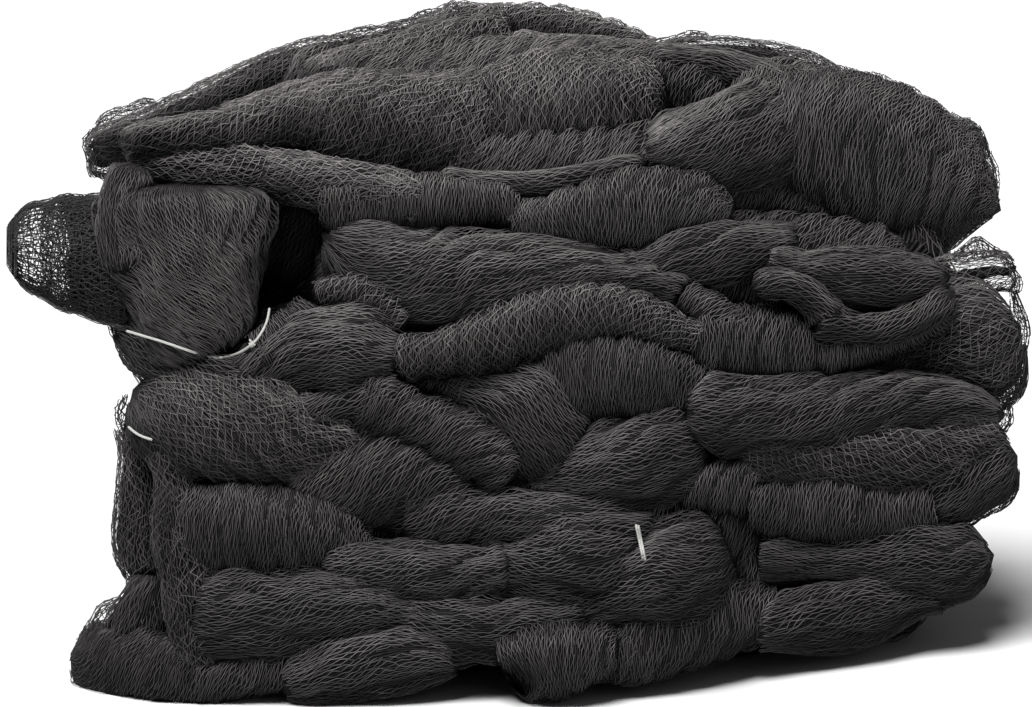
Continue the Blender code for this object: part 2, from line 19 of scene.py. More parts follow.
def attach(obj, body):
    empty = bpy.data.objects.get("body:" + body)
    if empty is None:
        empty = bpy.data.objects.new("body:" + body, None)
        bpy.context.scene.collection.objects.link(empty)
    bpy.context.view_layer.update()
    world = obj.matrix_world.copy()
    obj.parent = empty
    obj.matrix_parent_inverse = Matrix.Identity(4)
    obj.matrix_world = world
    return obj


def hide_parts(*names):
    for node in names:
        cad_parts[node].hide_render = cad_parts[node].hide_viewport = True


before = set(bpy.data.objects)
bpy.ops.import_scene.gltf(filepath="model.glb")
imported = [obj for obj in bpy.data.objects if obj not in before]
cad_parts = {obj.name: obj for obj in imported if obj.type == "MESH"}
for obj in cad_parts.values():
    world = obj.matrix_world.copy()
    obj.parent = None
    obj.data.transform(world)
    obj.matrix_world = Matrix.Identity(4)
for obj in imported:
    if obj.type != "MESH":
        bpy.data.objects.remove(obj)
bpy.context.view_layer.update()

bl_info = {
    "name": "Pond netting",
    "version": (1, 0, 0),
    "blender": (4, 5, 0),
    "location": "View3D > Sidebar > Netting",
    "description": "A heap of gathered black pond net with its white twine",
    "category": "Object",
}

# The lay-out of the heap, in millimetres, as in its construction
MM = 0.001
SEEN_WIDTH = 1032.0
SEEN_HEIGHT = 706.0
SIGHT_ELEVATION = math.radians(15.0)
SIGHT_DISTANCE = 6000.0
HEAP_DEPTH = 610.0
FRONT_LEAN = 80.0
CREST_SET_BACK = 290.0
CREST_POWER = 7.0
RIGHT_SET_BACK = 200.0
RIGHT_START = 560.0
RIGHT_END = 1010.0
LEFT_SET_BACK = 130.0
LEFT_START = 250.0
BACK_MIDDLE = np.array([0.0, HEAP_DEPTH / 2, 0.0])
BACK_SHARE = np.array([-0.84, -1.0, 0.93])
BACK_SHIFT = np.array([30.0, 0.0, 0.0])
BACK_SET_BACK = 70.0
FOLD_DEPTH_RATIO = 0.85
CENTRE_SHIFT = np.array([-7.5, -304.0, 0.0])
END_CAP = 0.13
FULLNESS = 0.8

# Relief of a gathered fold: shares of its half thickness, waves along it, pleats round it
LUMP_SHARE = 0.07
LUMP_WAVES = 6.3
PLEAT_SHARE = 0.05
PLEATS_AROUND = 5
PLEAT_WAVES = 11.0
PLEAT_DRIFT = 4.0
PHASE_STEP = 1.7

# How square a fold's section is: 1 for an ellipse, less for flatter sides
SECTION_POWER = 0.84

# Pleats that follow the strands
PLEAT = 3.8
PLEAT_PITCH = 27.0
PLEAT_SWAY = 31.0
PLEAT_FULL = 26.0

# Sway of the whole heap, which bends every fold's edges alike: reach and wave lengths
SWAY = 6.0
SWAY_LONG = 74.0
SWAY_SHORT = 39.0

# How far a fold's skin is drawn in under open net, where light shows through its edge
OPEN_EDGE = {"corner_lobe": 12.0, "crest_right": 5.0, "crest_left": 3.0, "fringe_lobe": 14.0,
             "side_drape": 9.0, "ear": 6.0, "outer_pleat": 2.0, "belly_end": 4.0}

# Painted light and shade on single folds: how much lighter or darker their net is painted than the
# others', where they lie more in the light or in shade; and how far the strands of one lean over by its far
# end
FOLD_LIGHT_AND_SHADE = {"bundle": 1.12, "crest_left": 0.6, "crest_right": 0.6, "corner_lobe": 0.8, "ear": 0.6,
               "left_fold": 0.85, "arch": 0.84, "elbow": 1.14, "flank_leaf": 1.14, "foot_left": 0.88}
FOLD_LEAN = {"bundle": 1.2}

# The hollow mouth of the curl at the foot of the heap: its middle and half sizes as seen from the
# front, and how deep it goes
MOUTH_PLACE = (513.0, 683.0)
MOUTH_HALF = (21.0, 19.0)
MOUTH_DEEP = 46.0

# How far a skin lies under its strands, and the share of a fold over which its swelling starts
SKIN_DROP = 1.5
SKIN_END = 0.04

# How unevenly net lies: how far knots stray along and across, as shares of a mesh; how far strands
# bend and crinkle, ripple up and down and stray up, and the waves' lengths, all in millimetres
STRAY_ALONG = 0.16
STRAY_ACROSS = 0.2
BEND = 2.4
BEND_ALONG = 23.0
BEND_ACROSS = 31.0
CRINKLE = 1.3
CRINKLE_ALONG = 9.5
CRINKLE_ACROSS = 17.0
RIPPLE = 0.7
RIPPLE_ALONG = 14.0
RIPPLE_ACROSS = 3.1
RIPPLE_DRIFT = 41.0
STRAY_UP = 0.35

# Share of a surface left bare at its tips, the least height of a strand, and how much lighter or
# darker than usual a strand and a knot may be
BARE_TIP = 0.015
STRAND_LEAST_HEIGHT = 0.6
STRAND_BRIGHT = (0.75, 1.15)
KNOT_BRIGHT = (0.45, 1.35)

# Strands along the flap's rim: their points along each side and round its tip, how far they spread
# round it, lie up and stray, how short one may be, and how thick they are
RIM_SIDE_POINTS = 40
RIM_TIP_POINTS = 12
RIM_SPREAD = 0.13
RIM_LIFT = 1.6
RIM_STRAY = 1.3
RIM_SHORTEST = 0.9
RIM_THICK = 1.4

# Gathered net: how far open it is and how far off the skin; at the back and the ends it is coarser,
# with longer bars
GATHERED_OPEN = 0.62
GATHERED_LIFT = 1.0
FAR_OPEN = 0.8
FAR_BAR = 1.24
BACK_COARSE = 2.6
ENDS_COARSE = 2.2

# Loose net: how loose a fold has to be to get it, its height off the skin, and how far round it goes;
# then the loops' nets, as pitch and lift, their share of the way round, and how thick they are
LOOSE_LEAST = 0.5
LOOSE_LIFT = 2.6
LOOSE_FACING = 0.45
LOOP_NETS = ((4.2, 0.0), (6.2, 3.0))
LOOP_SPREAD = 0.5
LOOP_THICK = 1.35

# How light loose net looks, which has fewer strands in each other's shade, and net against the light
LOOSE_BRIGHT = 1.6
FLAP_BRIGHT = 0.3
EDGE_BRIGHT = 0.45

# How near two folds' skins begin to merge, the share of that they swell by, more at their tips and
# how far along that goes; how many balls stand for a fold there, and the depth outside all of them
MERGE_REACH = 26.0
MERGE_SHARE = 0.2
MERGE_TIP = 0.34
MERGE_TIP_REACH = 0.24
FOLD_BALLS = 40
FAR_OUTSIDE = -1000.0

# Height at which the heap's foot rests on the floor
FLOOR_REST = 0.4

# Turns of the rope at the heap's ends
TURN_DRAW_IN = 26.0
TURN_WAVE = 8.0
TURN_WAVES = 5.0

# The net flap at the heap's left, with its nets as direction and lift, and more of them near its root
FLAP_ROOT = (128.0, 262.0)
FLAP_TIP = (4.0, 244.0)
FLAP_HALF = 66.0
FLAP_TAPER = 0.25
FLAP_PROUD = 22.0
FLAP_BELLY = 26.0
FLAP_SWEEP = 52.0
FLAP_ROUND = 0.94
FLAP_RAGGED = 0.045
FLAP_CORE_SHARE = 0.47
FLAP_DENSE_SHARE = 0.74
FLAP_RIM_STRANDS = 34
FLAP_SEED = 400
FLAP_PITCH = 5.4
FLAP_THICK = 1.7
FLAP_NETS = ((35, 0.0), (-40, 1.5))
FLAP_DENSE_PITCH = 3.2
FLAP_DENSE_NETS = ((10, 2.5), (-65, -3.0), (80, -1.5))

# Views that tell which strands can be seen: azimuth and elevation in degrees, the size of a
# map's cell, the step between samples, and how far behind the skins a strand still shows
VIEW_ANGLES = ((0, 15), (35, 12), (70, 12), (110, 12), (145, 12), (180, 15), (215, 12), (250, 12), (290, 12),
               (325, 12), (0, 50), (90, 50), (180, 50), (270, 50), (0, 85))
VIEW_CELL = 6.0
VIEW_STEP = 4.0
VIEW_DEEP = 7.0

# Rings of directions over the sky, as height in degrees and count; how far out the rays start and
# how far they reach, in metres; for the painted shade, the brightness of net with no sky, and what a
# whole sky adds; and the height, in metres, below which net is painted darker, down to a share of it at the
# floor
SKY_RINGS = ((10, 8), (35, 7), (62, 5), (90, 1))
SKY_START = 0.004
SKY_REACH = 0.16
SHADE_LOW = 0.14
SHADE_GAIN = 1.65
SHADE_HEIGHT = 0.66
SHADE_FOOT = 0.66

# The rays that tell if a strand is under a skin: how far out they start, in metres, and the most
# skins they are followed through
RAY_START = 0.0012
RAY_HITS = 8

# Names of the skins, and their grids: rings along a fold and sides round it
SKINS = ("folds_front", "folds_back", "folds_ends")
FRONT_GRID = (34, 26)
BACK_GRID = (20, 14)
ROUND_SHARE = 0.95
FRONT_ANGLE = -math.pi / 2

# One row for each fold: as in the construction, then the direction of its strands, in
# degrees from along the fold (0) to round it (90), and how loose the net on it lies
Fold = namedtuple("Fold", "name x0 y0 x1 y1 bow wave half peak tip0 tip1 proud flow loose")

FOLDS = tuple(Fold(*row) for row in (
    # crown of the heap
    ("crest_left", 88, 146, 480, 28, 9, 0, 26, 0.70, 0.5, 0.7, -10, 20, 0.9),
    ("left_fold", 118, 138, 345, 118, 3, 0, 18, 0.50, 0.6, 0.8, 25, 30, 0.8),
    ("under_fold", 128, 158, 330, 180, 0, 0, 24, 0.50, 0.6, 0.6, -2, 12, 0.6),
    ("drape_left", 205, 118, 500, 120, -14, 0, 66, 0.72, 0.2, 0.85, 25, 60, 0.9),
    ("drape_mid", 446, 120, 668, 108, -2, 0, 64, 0.55, 0.5, 0.5, 20, 84, 0.7),
    ("crest_band", 318, 82, 512, 34, 2, 0, 28, 0.65, 0.4, 0.8, 5, 50, 0.7),
    ("crest_mid", 455, 28, 655, 54, 12, 0, 24, 0.45, 0.7, 0.5, 0, 60, 0.6),
    ("swirl_band", 500, 52, 705, 68, 3, 0, 16, 0.50, 0.6, 0.6, 8, 10, 0.5),
    ("swirl_over", 650, 66, 812, 132, 26, 0, 21, 0.65, 0.5, 0.7, 28, 4, 0.2),
    ("swirl_body", 640, 150, 824, 114, -10, 0, 51, 0.55, 0.35, 0.35, 34, 24, 0.3),
    ("drape_right", 712, 150, 1003, 210, 12, 0, 93, 0.38, 0.75, 0.12, 0, 84, 0.3),
    ("ear", 945, 158, 982, 128, 0, 0, 19, 0.50, 0.6, 0.6, -45, 0, 0.6),
    ("crest_right", 650, 50, 930, 132, 24, 0, 16, 0.50, 0.6, 0.5, -45, 0, 0.9),
    ("corner_lobe", 86, 162, 200, 124, 0, 0, 26, 0.40, 0.6, 0.8, -52, 30, 0.9),
    # ridges under the crown
    ("ridge_left", 312, 206, 530, 206, -2, 0, 26, 0.50, 0.5, 0.3, 18, 90, 0.0),
    ("skirt", 255, 168, 424, 214, 4, 0, 23, 0.55, 0.3, 0.45, 20, 20, 0.6),
    ("tuck_band", 430, 192, 648, 160, -4, 0, 12, 0.50, 0.5, 0.6, 14, 0, 0.2),
    ("ridge_mid", 512, 232, 734, 212, 14, 0, 38, 0.55, 0.25, 0.2, 24, 80, 0.2),
    ("long_leaf", 318, 232, 700, 300, -12, -18, 43, 0.30, 0.2, 0.25, 20, 20, 0.1),
    ("right_leaf", 610, 268, 800, 252, 2, 0, 32, 0.50, 0.3, 0.4, 10, 10, 0.2),
    ("slant_roll", 392, 366, 708, 346, 36, -9, 27, 0.40, 0.5, 0.4, 26, 76, 0.5),
    # middle of the face
    ("pillow", 432, 392, 592, 436, 0, 0, 60, 0.62, 0.35, 0.5, 14, -25, 0.1),
    ("arch", 535, 384, 722, 400, 16, 0, 38, 0.50, 0.7, 0.35, 20, 84, 0.1),
    ("egg", 518, 482, 712, 448, 2, 0, 51, 0.62, 0.1, 0.4, 20, 5, 0.0),
    ("elbow_hair", 355, 404, 512, 480, 10, 0, 28, 0.50, 0.5, 0.5, 22, 70, 0.1),
    ("arcs", 288, 497, 472, 496, 12, 0, 37, 0.55, 0.45, 0.4, 14, 40, 0.3),
    ("tuck_left", 290, 442, 440, 428, 0, 0, 13, 0.50, 0.5, 0.5, 2, 20, 0.0),
    ("fan_leaf", 398, 526, 650, 538, 14, 0, 26, 0.55, 0.5, 0.5, 12, 20, 0.1),
    ("leaf_mid", 478, 560, 650, 540, -14, 0, 42, 0.55, 0.3, 0.35, 16, 0, 0.0),
    ("eye_leaf", 318, 576, 515, 566, 0, 0, 30, 0.45, 0.15, 0.35, 18, 10, 0.3),
    ("s_leaf", 388, 630, 592, 612, -4, 0, 34, 0.38, 0.2, 0.35, 12, 0, 0.0),
    ("flank_leaf", 556, 620, 728, 545, 0, 0, 55, 0.65, 0.2, 0.5, 22, -10, 0.1),
    ("foot_mid", 598, 664, 786, 602, 4, 0, 34, 0.50, 0.5, 0.3, 8, 60, 0.0),
    # right of the face
    ("hook_leaf", 762, 270, 958, 270, -12, 0, 30, 0.62, 0.2, 0.25, 24, 5, 0.4),
    ("hook_turn", 752, 288, 826, 322, 14, 0, 13, 0.50, 0.6, 0.8, 30, 15, 0.1),
    ("hook_run", 812, 318, 962, 286, -26, 0, 14, 0.40, 0.8, 0.4, 26, 15, 0.1),
    ("narrow_fold", 684, 296, 742, 352, 6, 0, 20, 0.50, 0.5, 0.7, 12, 80, 0.0),
    ("tuck_right", 692, 346, 842, 350, -2, 0, 38, 0.45, 0.5, 0.3, 16, 90, 0.0),
    ("slim_roll", 815, 358, 962, 304, -14, 0, 15, 0.50, 0.6, 0.5, 12, 90, 0.1),
    ("side_drape", 872, 386, 1022, 326, 0, 0, 64, 0.74, 0.2, 0.5, 0, 8, 0.9),
    ("fringe_lobe", 925, 278, 1018, 266, 0, 0, 20, 0.60, 0.6, 0.5, -34, 0, 0.9),
    ("broad_roll", 684, 410, 1006, 416, 0, -8, 37, 0.30, 0.3, 0.4, 30, 20, 0.3),
    ("slope_roll", 738, 460, 1008, 436, -16, 0, 34, 0.45, 0.3, 0.25, 22, -30, 0.6),
    ("small_fold", 672, 488, 786, 499, 4, 0, 24, 0.50, 0.4, 0.5, 10, 80, 0.0),
    ("belly_roll", 748, 508, 935, 510, -8, 0, 25, 0.50, 0.4, 0.7, 20, 80, 0.1),
    ("belly_end", 880, 512, 1018, 456, 2, 0, 43, 0.65, 0.5, 0.45, 14, 20, 0.4),
    ("low_roll", 756, 556, 994, 554, -12, 0, 40, 0.75, 0.35, 0.45, 16, 5, 0.2),
    ("foot_right", 750, 631, 945, 589, -4, 0, 31, 0.45, 0.5, 0.35, 10, 5, 0.3),
    ("crease_fold", 746, 518, 744, 606, 0, 0, 16, 0.60, 0.5, 0.8, -22, 0, 0.0),
    # left of the face
    ("bundle", 180, 178, 216, 360, -6, 0, 82, 0.25, 0.85, 0.42, 45, 6, 0.3),
    ("bundle_curl", 140, 162, 128, 268, -8, 0, 24, 0.50, 0.5, 0.6, 50, 0, 0.3),
    ("under_bundle", 112, 318, 262, 392, -6, 0, 26, 0.50, 0.4, 0.6, 4, 0, 0.3),
    ("inner_curl", 256, 360, 312, 308, -5, 0, 18, 0.50, 0.6, 0.6, 12, 80, 0.0),
    ("left_drape", 132, 386, 384, 448, -22, 0, 60, 0.35, 0.3, 0.2, 26, -30, 1.0),
    ("elbow", 238, 386, 408, 370, 20, 0, 48, 0.66, 0.3, 0.5, 26, 10, 0.1),
    ("fan", 308, 296, 408, 322, 14, 0, 15, 0.50, 0.6, 0.5, 16, 60, 0.5),
    ("seam_fold", 280, 416, 410, 400, 0, 0, 13, 0.60, 0.5, 0.7, 16, 10, 0.2),
    ("outer_pleat", 138, 428, 141, 578, -5, 0, 22, 0.72, 0.7, 0.3, -20, 0, 0.8),
    ("inner_pleat", 168, 432, 202, 668, -6, 0, 20, 0.55, 0.6, 0.4, 10, 0, 0.5),
    ("hair_roll", 166, 532, 378, 538, 0, 0, 48, 0.45, 0.6, 0.25, 26, 84, 0.2),
    ("pillow_low", 180, 608, 424, 612, -6, 0, 46, 0.38, 0.35, 0.2, 22, 10, 0.1),
    ("foot_left", 71, 654, 240, 684, -2, 0, 45, 0.40, 0.5, 0.3, 10, 70, 0.4),
    ("foot_neck", 150, 572, 132, 650, 0, 0, 26, 0.60, 0.5, 0.9, -4, 0, 0.4),
    ("foot_hem", 188, 682, 312, 656, -6, 0, 20, 0.50, 0.6, 0.5, 6, 60, 0.2),
    ("curved_roll", 280, 690, 462, 668, 12, 0, 33, 0.40, 0.3, 0.15, 18, 6, 0.1),
    ("swirl_left", 322, 602, 420, 622, -4, 0, 16, 0.50, 0.3, 0.4, 10, 10, 0.1),
    ("open_curl", 506, 680, 620, 652, 8, 0, 35, 0.45, 0.7, 0.5, 30, 80, 0.3),
    ("knee", 590, 640, 660, 668, 0, 0, 20, 0.50, 0.5, 0.5, 0, 60, 0.0),
    # rope behind the face, which the folds lie on
    ("core_floor", 150, 640, 870, 606, 0, 0, 60, 0.50, 0.9, 0.8, -100, 60, 0.0),
    ("core_low", 150, 520, 950, 530, 0, 0, 80, 0.50, 0.9, 0.8, -14, 60, 0.0),
    ("core_mid", 160, 400, 970, 400, 0, 0, 80, 0.50, 0.9, 0.8, -14, 60, 0.0),
    ("core_recess", 140, 250, 330, 250, 0, 0, 76, 0.50, 0.9, 0.9, -70, 60, 0.0),
    ("core_upper", 300, 290, 950, 300, 0, 0, 76, 0.50, 0.8, 0.8, -18, 60, 0.0),
    ("core_crown", 300, 190, 940, 200, 0, 0, 70, 0.50, 0.8, 0.7, -26, 60, 0.0),
    ("core_crest", 260, 104, 860, 118, 10, 0, 60, 0.50, 0.6, 0.6, -24, 60, 0.0),
))

# The strands of the front in parts, and the fold that each part starts with
STRAND_PARTS = ("crown", "middle", "right", "left")
STRAND_STARTS = ("crest_left", "long_leaf", "hook_leaf", "bundle")

# Folds that only the front shows
FRONT_ONLY = ("bundle", "bundle_curl", "ear", "outer_pleat", "crest_left", "crest_right", "foot_neck",
              "corner_lobe", "fringe_lobe")

# Turns at the heap's two ends: height of the rope's middle, how far it reaches out,
# half its thickness, and where it starts and stops from front to back
Turn = namedtuple("Turn", "height reach half front back flow")

TURNS = tuple(Turn(*row) for row in (
    (62, -398, 62, 80, 520, 20),
    (150, -388, 54, 100, 540, 70),
    (238, -382, 54, 110, 540, 15),
    (322, -398, 52, 130, 520, 85),
    (400, -400, 50, 150, 500, 10),
    (470, -380, 46, 180, 460, 60),
    (60, 446, 62, 230, 540, 75),
    (150, 472, 54, 240, 560, 12),
    (236, 476, 54, 250, 560, 60),
    (322, 480, 52, 265, 540, 5),
    (402, 450, 50, 275, 520, 70),
    (470, 402, 46, 290, 460, 20),
))

# Heart of the heap, a rounded block: its middle, and half its width, depth and height
HEART_MIDDLE = np.array([0.0, 335.0, 262.0])
HEART_HALF = np.array([350.0, 190.0, 278.0])
HEART_POWER = 0.72

# Where each twine shows from the front: its route, its knot if it has one, and between which places
# seen to the right it sinks into the net, and how far to its side a second cord lies, if any
Tie = namedtuple("Tie", "name route knot sunk second")

# How a twine is laid: the step of its points, in millimetres, and the times they are eased; how far
# before and behind the front line it is sought; its steepest slope, and the times its hollows are
# pulled taut; how far it sinks, and how far over the skin it lies, in metres
ROUTE_STEP = 3.0
ROUTE_EASE = 8
ROUTE_SEEK = 400.0
ROUTE_SLOPE = 0.8
ROUTE_TAUT = 6
SUNK_DEPTH = 0.006
TWINE_CLEAR = 0.0022

# Twine: how far its plies lie off its middle and how thick they are, as shares of its radius, and
# their points in one full twist; and how thick the knot's cord is
PLY_OFF = 0.52
PLY_THICK = 0.56
PLY_STEPS = 8.0
KNOT_THICK = 0.75

# The knot: turns round the twine, their radius and their reach along it, in metres, and its tail
KNOT_TURNS = 2.6
KNOT_RADIUS = 0.0021
KNOT_REACH = 0.0045
KNOT_TAIL = 0.007

TIES = (
    Tie("end_tie", ((126, 331), (160, 341), (195, 353), (221, 359), (242, 352), (257, 340), (267, 322),
                    (269, 308)), (251, 345), (188, 220), None),
    Tie("front_tie", ((636, 525), (638, 535), (641, 549), (643, 560)), None, None, 2.3),
    Tie("side_tie", ((128, 427), (134, 433), (141, 437), (152, 440)), None, None, None),
)

# Loops of open net that stand out from the heap's edge: the ends of each one's root line,
# clockwise round the outline, how far it stands out, half its depth from front to back,
# how far its root lies behind the heap's face, and the direction of its strands
Veil = namedtuple("Veil", "x0 y0 x1 y1 out deep back flow")

VEILS = tuple(Veil(*row) for row in (
    (138, 372, 112, 312, 9, 14, 30, 5),
    (133, 462, 128, 392, 12, 10, 40, 8),
    (82, 696, 80, 648, 7, 14, 34, 60),
    (84, 640, 124, 598, 9, 16, 26, 40),
    (96, 178, 98, 122, 12, 18, 72, 35),
    (94, 130, 158, 104, 12, 18, 60, 50),
    (300, 66, 402, 28, 4, 12, 34, 20),
    (408, 24, 462, 8, 9, 12, 34, 40),
    (648, 48, 712, 36, 8, 12, 60, 50),
    (744, 50, 856, 88, 17, 16, 66, 55),
    (846, 84, 942, 136, 15, 16, 62, 45),
    (942, 128, 978, 122, 5, 10, 60, 50),
    (976, 124, 996, 200, 8, 14, 50, 30),
    (952, 262, 1006, 258, 18, 16, 48, 60),
    (1000, 256, 1016, 296, 10, 12, 50, 40),
    (1010, 286, 1012, 404, 15, 22, 52, 45),
    (1002, 376, 988, 452, 14, 18, 54, 30),
    (1000, 450, 1006, 500, 10, 16, 50, 40),
))

# A surface that net lies on: place(t, angle, lift) gives points of the lay-out, and its
# length and radius turn millimetres on the net into t and angle
Surface = namedtuple("Surface", "key place length radius flow loose seed drawn_in")

# Studio lights: the spread of each sun, and how it is turned, in degrees; and the height of the
# picture's middle
KEY_SPREAD = 30.0
KEY_TURN = (26.0, 0.0, -30.0)
FILL_SPREAD = 60.0
FILL_TURN = (62.0, 0.0, 40.0)
PICTURE_MIDDLE = 353.5

# One piece of a mesh before it is joined: corners, quads, triangles, brightness of each
# corner, and the quads' and triangles' corners on the flat net
Shell = namedtuple("Shell", "verts quads tris tone quad_flat tri_flat")


def sight(right, down, back):
    """Place of a point seen at (right, down) that lies `back` behind the front line.

    level = back + D cos e; drop = level (s cos e - sin e) / (cos e + s sin e), where s is
    the height seen over D; the across distance grows with the distance along the sight.
    """
    across = right - SEEN_WIDTH / 2
    slope = (SEEN_HEIGHT - down) / SIGHT_DISTANCE
    cos_e = math.cos(SIGHT_ELEVATION)
    sin_e = math.sin(SIGHT_ELEVATION)
    level = back + SIGHT_DISTANCE * cos_e
    drop = level * (slope * cos_e - sin_e) / (cos_e + slope * sin_e)
    distance = level * cos_e - drop * sin_e
    return np.stack([across * distance / SIGHT_DISTANCE + 0 * drop, back + 0 * drop,
                     drop + SIGHT_DISTANCE * sin_e], axis=-1)


def seen_from_front(points):
    """The inverse of sight and, nearly, of the sway: (right, down, back) of lay-out points."""
    cos_e = math.cos(SIGHT_ELEVATION)
    sin_e = math.sin(SIGHT_ELEVATION)
    level = points[..., 1] + SIGHT_DISTANCE * cos_e
    drop = points[..., 2] - SIGHT_DISTANCE * sin_e
    distance = level * cos_e - drop * sin_e
    slope = (level * sin_e + drop * cos_e) / distance
    right = points[..., 0] * SIGHT_DISTANCE / distance + SEEN_WIDTH / 2
    down = SEEN_HEIGHT - slope * SIGHT_DISTANCE
    moved = swayed(right, down)
    return np.stack([2.0 * right - moved[0], 2.0 * down - moved[1], points[..., 1]], axis=-1)


def smooth_step(value):
    """0 below 0, 1 above 1, and 3v^2 - 2v^3 between."""
    value = np.clip(value, 0.0, 1.0)
    return value * value * (3.0 - 2.0 * value)


def face_depth(right, down, right_set_back):
    """How far the heap's face lies behind the front line: it leans, and turns at its ends."""
    height = np.clip((SEEN_HEIGHT - down) / SEEN_HEIGHT, 0.0, 1.0)
    lean = FRONT_LEAN * height + CREST_SET_BACK * height ** CREST_POWER
    turned = right_set_back * smooth_step((right - RIGHT_START) / (RIGHT_END - RIGHT_START))
    rounded = LEFT_SET_BACK * np.clip((LEFT_START - right) / LEFT_START, 0.0, 1.0) ** 2
    return lean + turned + rounded


def fold_half(fold, t):
    """Half thickness: half (tip + (1 - tip) sin(pi t^skew)^FULLNESS), with round ends."""
    skew = math.log(0.5) / math.log(fold.peak)
    swell = np.clip(np.sin(math.pi * np.clip(t, 0.0, 1.0) ** skew), 0.0, 1.0) ** FULLNESS
    tip = fold.tip0 * (1.0 - t) + fold.tip1 * t
    near_end = np.clip(np.minimum(t, 1.0 - t) / END_CAP, 0.0, 1.0)
    round_end = np.sqrt(1.0 - (1.0 - near_end) ** 2)
    return fold.half * (tip + (1.0 - tip) * swell) * round_end


def relief(t, angle, seed):
    """Share by which a gathered fold swells: 1 + lumps along it + pleats round it."""
    phase = PHASE_STEP * seed
    lump = np.sin(LUMP_WAVES * t + phase + np.sin(2.0 * angle + seed))
    pleat = np.sin(PLEATS_AROUND * angle + PLEAT_DRIFT * t + phase) * np.sin(PLEAT_WAVES * t + seed + angle)
    return 1.0 + LUMP_SHARE * lump + PLEAT_SHARE * pleat


def pleats(along, around, flow, half, seed):
    """Pleats that follow the strands, sharp in their valleys and less on thin folds.

    They are 1 - 2 (1 - |sin(pi across / pitch + sway)|)^2, stronger and weaker along the fold.
    """
    turn = math.radians(flow)
    across = around * math.cos(turn) - along * math.sin(turn)
    ahead = along * math.cos(turn) + around * math.sin(turn)
    sway = 1.5 * np.sin(ahead / PLEAT_SWAY + seed) + 0.8 * np.sin(ahead / PLEAT_SWAY * 2.3 + across / 40.0)
    broad = np.abs(np.sin(math.pi * across / PLEAT_PITCH + 0.7 * sway + seed))
    strength = 0.35 + 0.65 * np.sin(ahead / 55.0 + 2.0 * seed) ** 2
    height = PLEAT * strength * (1.0 - 2.0 * (1.0 - broad) ** 2)
    return height * np.minimum(half / PLEAT_FULL, 1.0)


def swayed(right, down):
    """Seen places moved by slow waves across both directions, so that no fold's edge is even."""
    shift = SWAY * (np.sin(down / SWAY_LONG + 1.7 * np.sin(right / SWAY_LONG)) * 0.6
                    + np.sin(right / SWAY_SHORT + down / SWAY_SHORT * 0.7) * 0.4)
    rise = SWAY * (np.sin(right / SWAY_LONG + 1.3 * np.sin(down / SWAY_SHORT)) * 0.6
                   + np.sin(right / SWAY_SHORT * 0.8 - down / SWAY_SHORT + 1.0) * 0.5)
    edge = smooth_step(np.minimum(np.minimum(right - 60.0, 1010.0 - right), 700.0 - down) / 60.0)
    return right + shift * edge, down + rise * edge


def fold_length(fold):
    """Length of a fold's middle line, taken straight."""
    return math.hypot(fold.x1 - fold.x0, fold.y1 - fold.y0)


def fold_line(fold, t):
    """Seen place and unit direction of a fold's middle line: straight, plus bow and wave across it."""
    run = np.array([fold.x1 - fold.x0, fold.y1 - fold.y0], dtype=float)
    normal = np.array([run[1], -run[0]]) / np.hypot(*run)
    rise = fold.bow * 4.0 * t * (1.0 - t) + fold.wave * np.sin(2.0 * math.pi * t)
    climb = fold.bow * 4.0 * (1.0 - 2.0 * t) + fold.wave * 2.0 * math.pi * np.cos(2.0 * math.pi * t)
    right = fold.x0 + run[0] * t + normal[0] * rise
    down = fold.y0 + run[1] * t + normal[1] * rise
    ahead = np.stack([run[0] + normal[0] * climb, run[1] + normal[1] * climb])
    return right, down, ahead / np.hypot(*ahead)


def mouth_depth(right, down):
    """How far the curl's face is pushed in: d exp(-(x^2 + y^2)^2), x and y in half sizes off its middle."""
    x = (right - MOUTH_PLACE[0]) / MOUTH_HALF[0]
    y = (down - MOUTH_PLACE[1]) / MOUTH_HALF[1]
    return MOUTH_DEEP * np.exp(-(x * x + y * y) ** 2)


def fold_place(fold, seed, right_set_back, t, angle, lift):
    """A fold's skin at (t, angle), lifted: a squared ellipse carried on its middle line.

    Its half thickness is size, and cos and sin of the angle are raised to SECTION_POWER.
    """
    right, down, ahead = fold_line(fold, t)
    half = fold_half(fold, t)
    depth = face_depth(right, down, right_set_back) - fold.proud + FOLD_DEPTH_RATIO * fold.half
    around = (angle - FRONT_ANGLE) * fold.half * ROUND_SHARE
    size = half * relief(t, angle, seed) + pleats(t * fold_length(fold), around, fold.flow, half, seed)
    size = np.maximum(size, 0.0) + lift
    across = size * np.sign(np.cos(angle)) * np.abs(np.cos(angle)) ** SECTION_POWER
    back = size * np.sign(np.sin(angle)) * np.abs(np.sin(angle)) ** SECTION_POWER
    seen = swayed(right + ahead[1] * across, down - ahead[0] * across)
    if fold.name == "open_curl" and right_set_back == RIGHT_SET_BACK:
        back = back + mouth_depth(*seen) * np.clip(-2.0 * np.sin(angle), 0.0, 1.0)
    return sight(*seen, depth + FOLD_DEPTH_RATIO * back)


def turned_round(points):
    """The same points seen from behind: turned half round about the heap's upright middle."""
    return (points - BACK_MIDDLE) * BACK_SHARE + BACK_MIDDLE + BACK_SHIFT


def turned_back(points):
    """The inverse of turned_round."""
    return (points - BACK_MIDDLE - BACK_SHIFT) / BACK_SHARE + BACK_MIDDLE


def turn_line(turn, seed, t):
    """Middle, depth and height of a turn's line: drawn in at its ends, with a slow wave in height."""
    middle = abs(turn.reach) - turn.half - TURN_DRAW_IN * (2.0 * t - 1.0) ** 2
    along = turn.front + (turn.back - turn.front) * t
    height = turn.height + TURN_WAVE * np.sin(TURN_WAVES * t + PHASE_STEP * seed)
    return middle, along, height


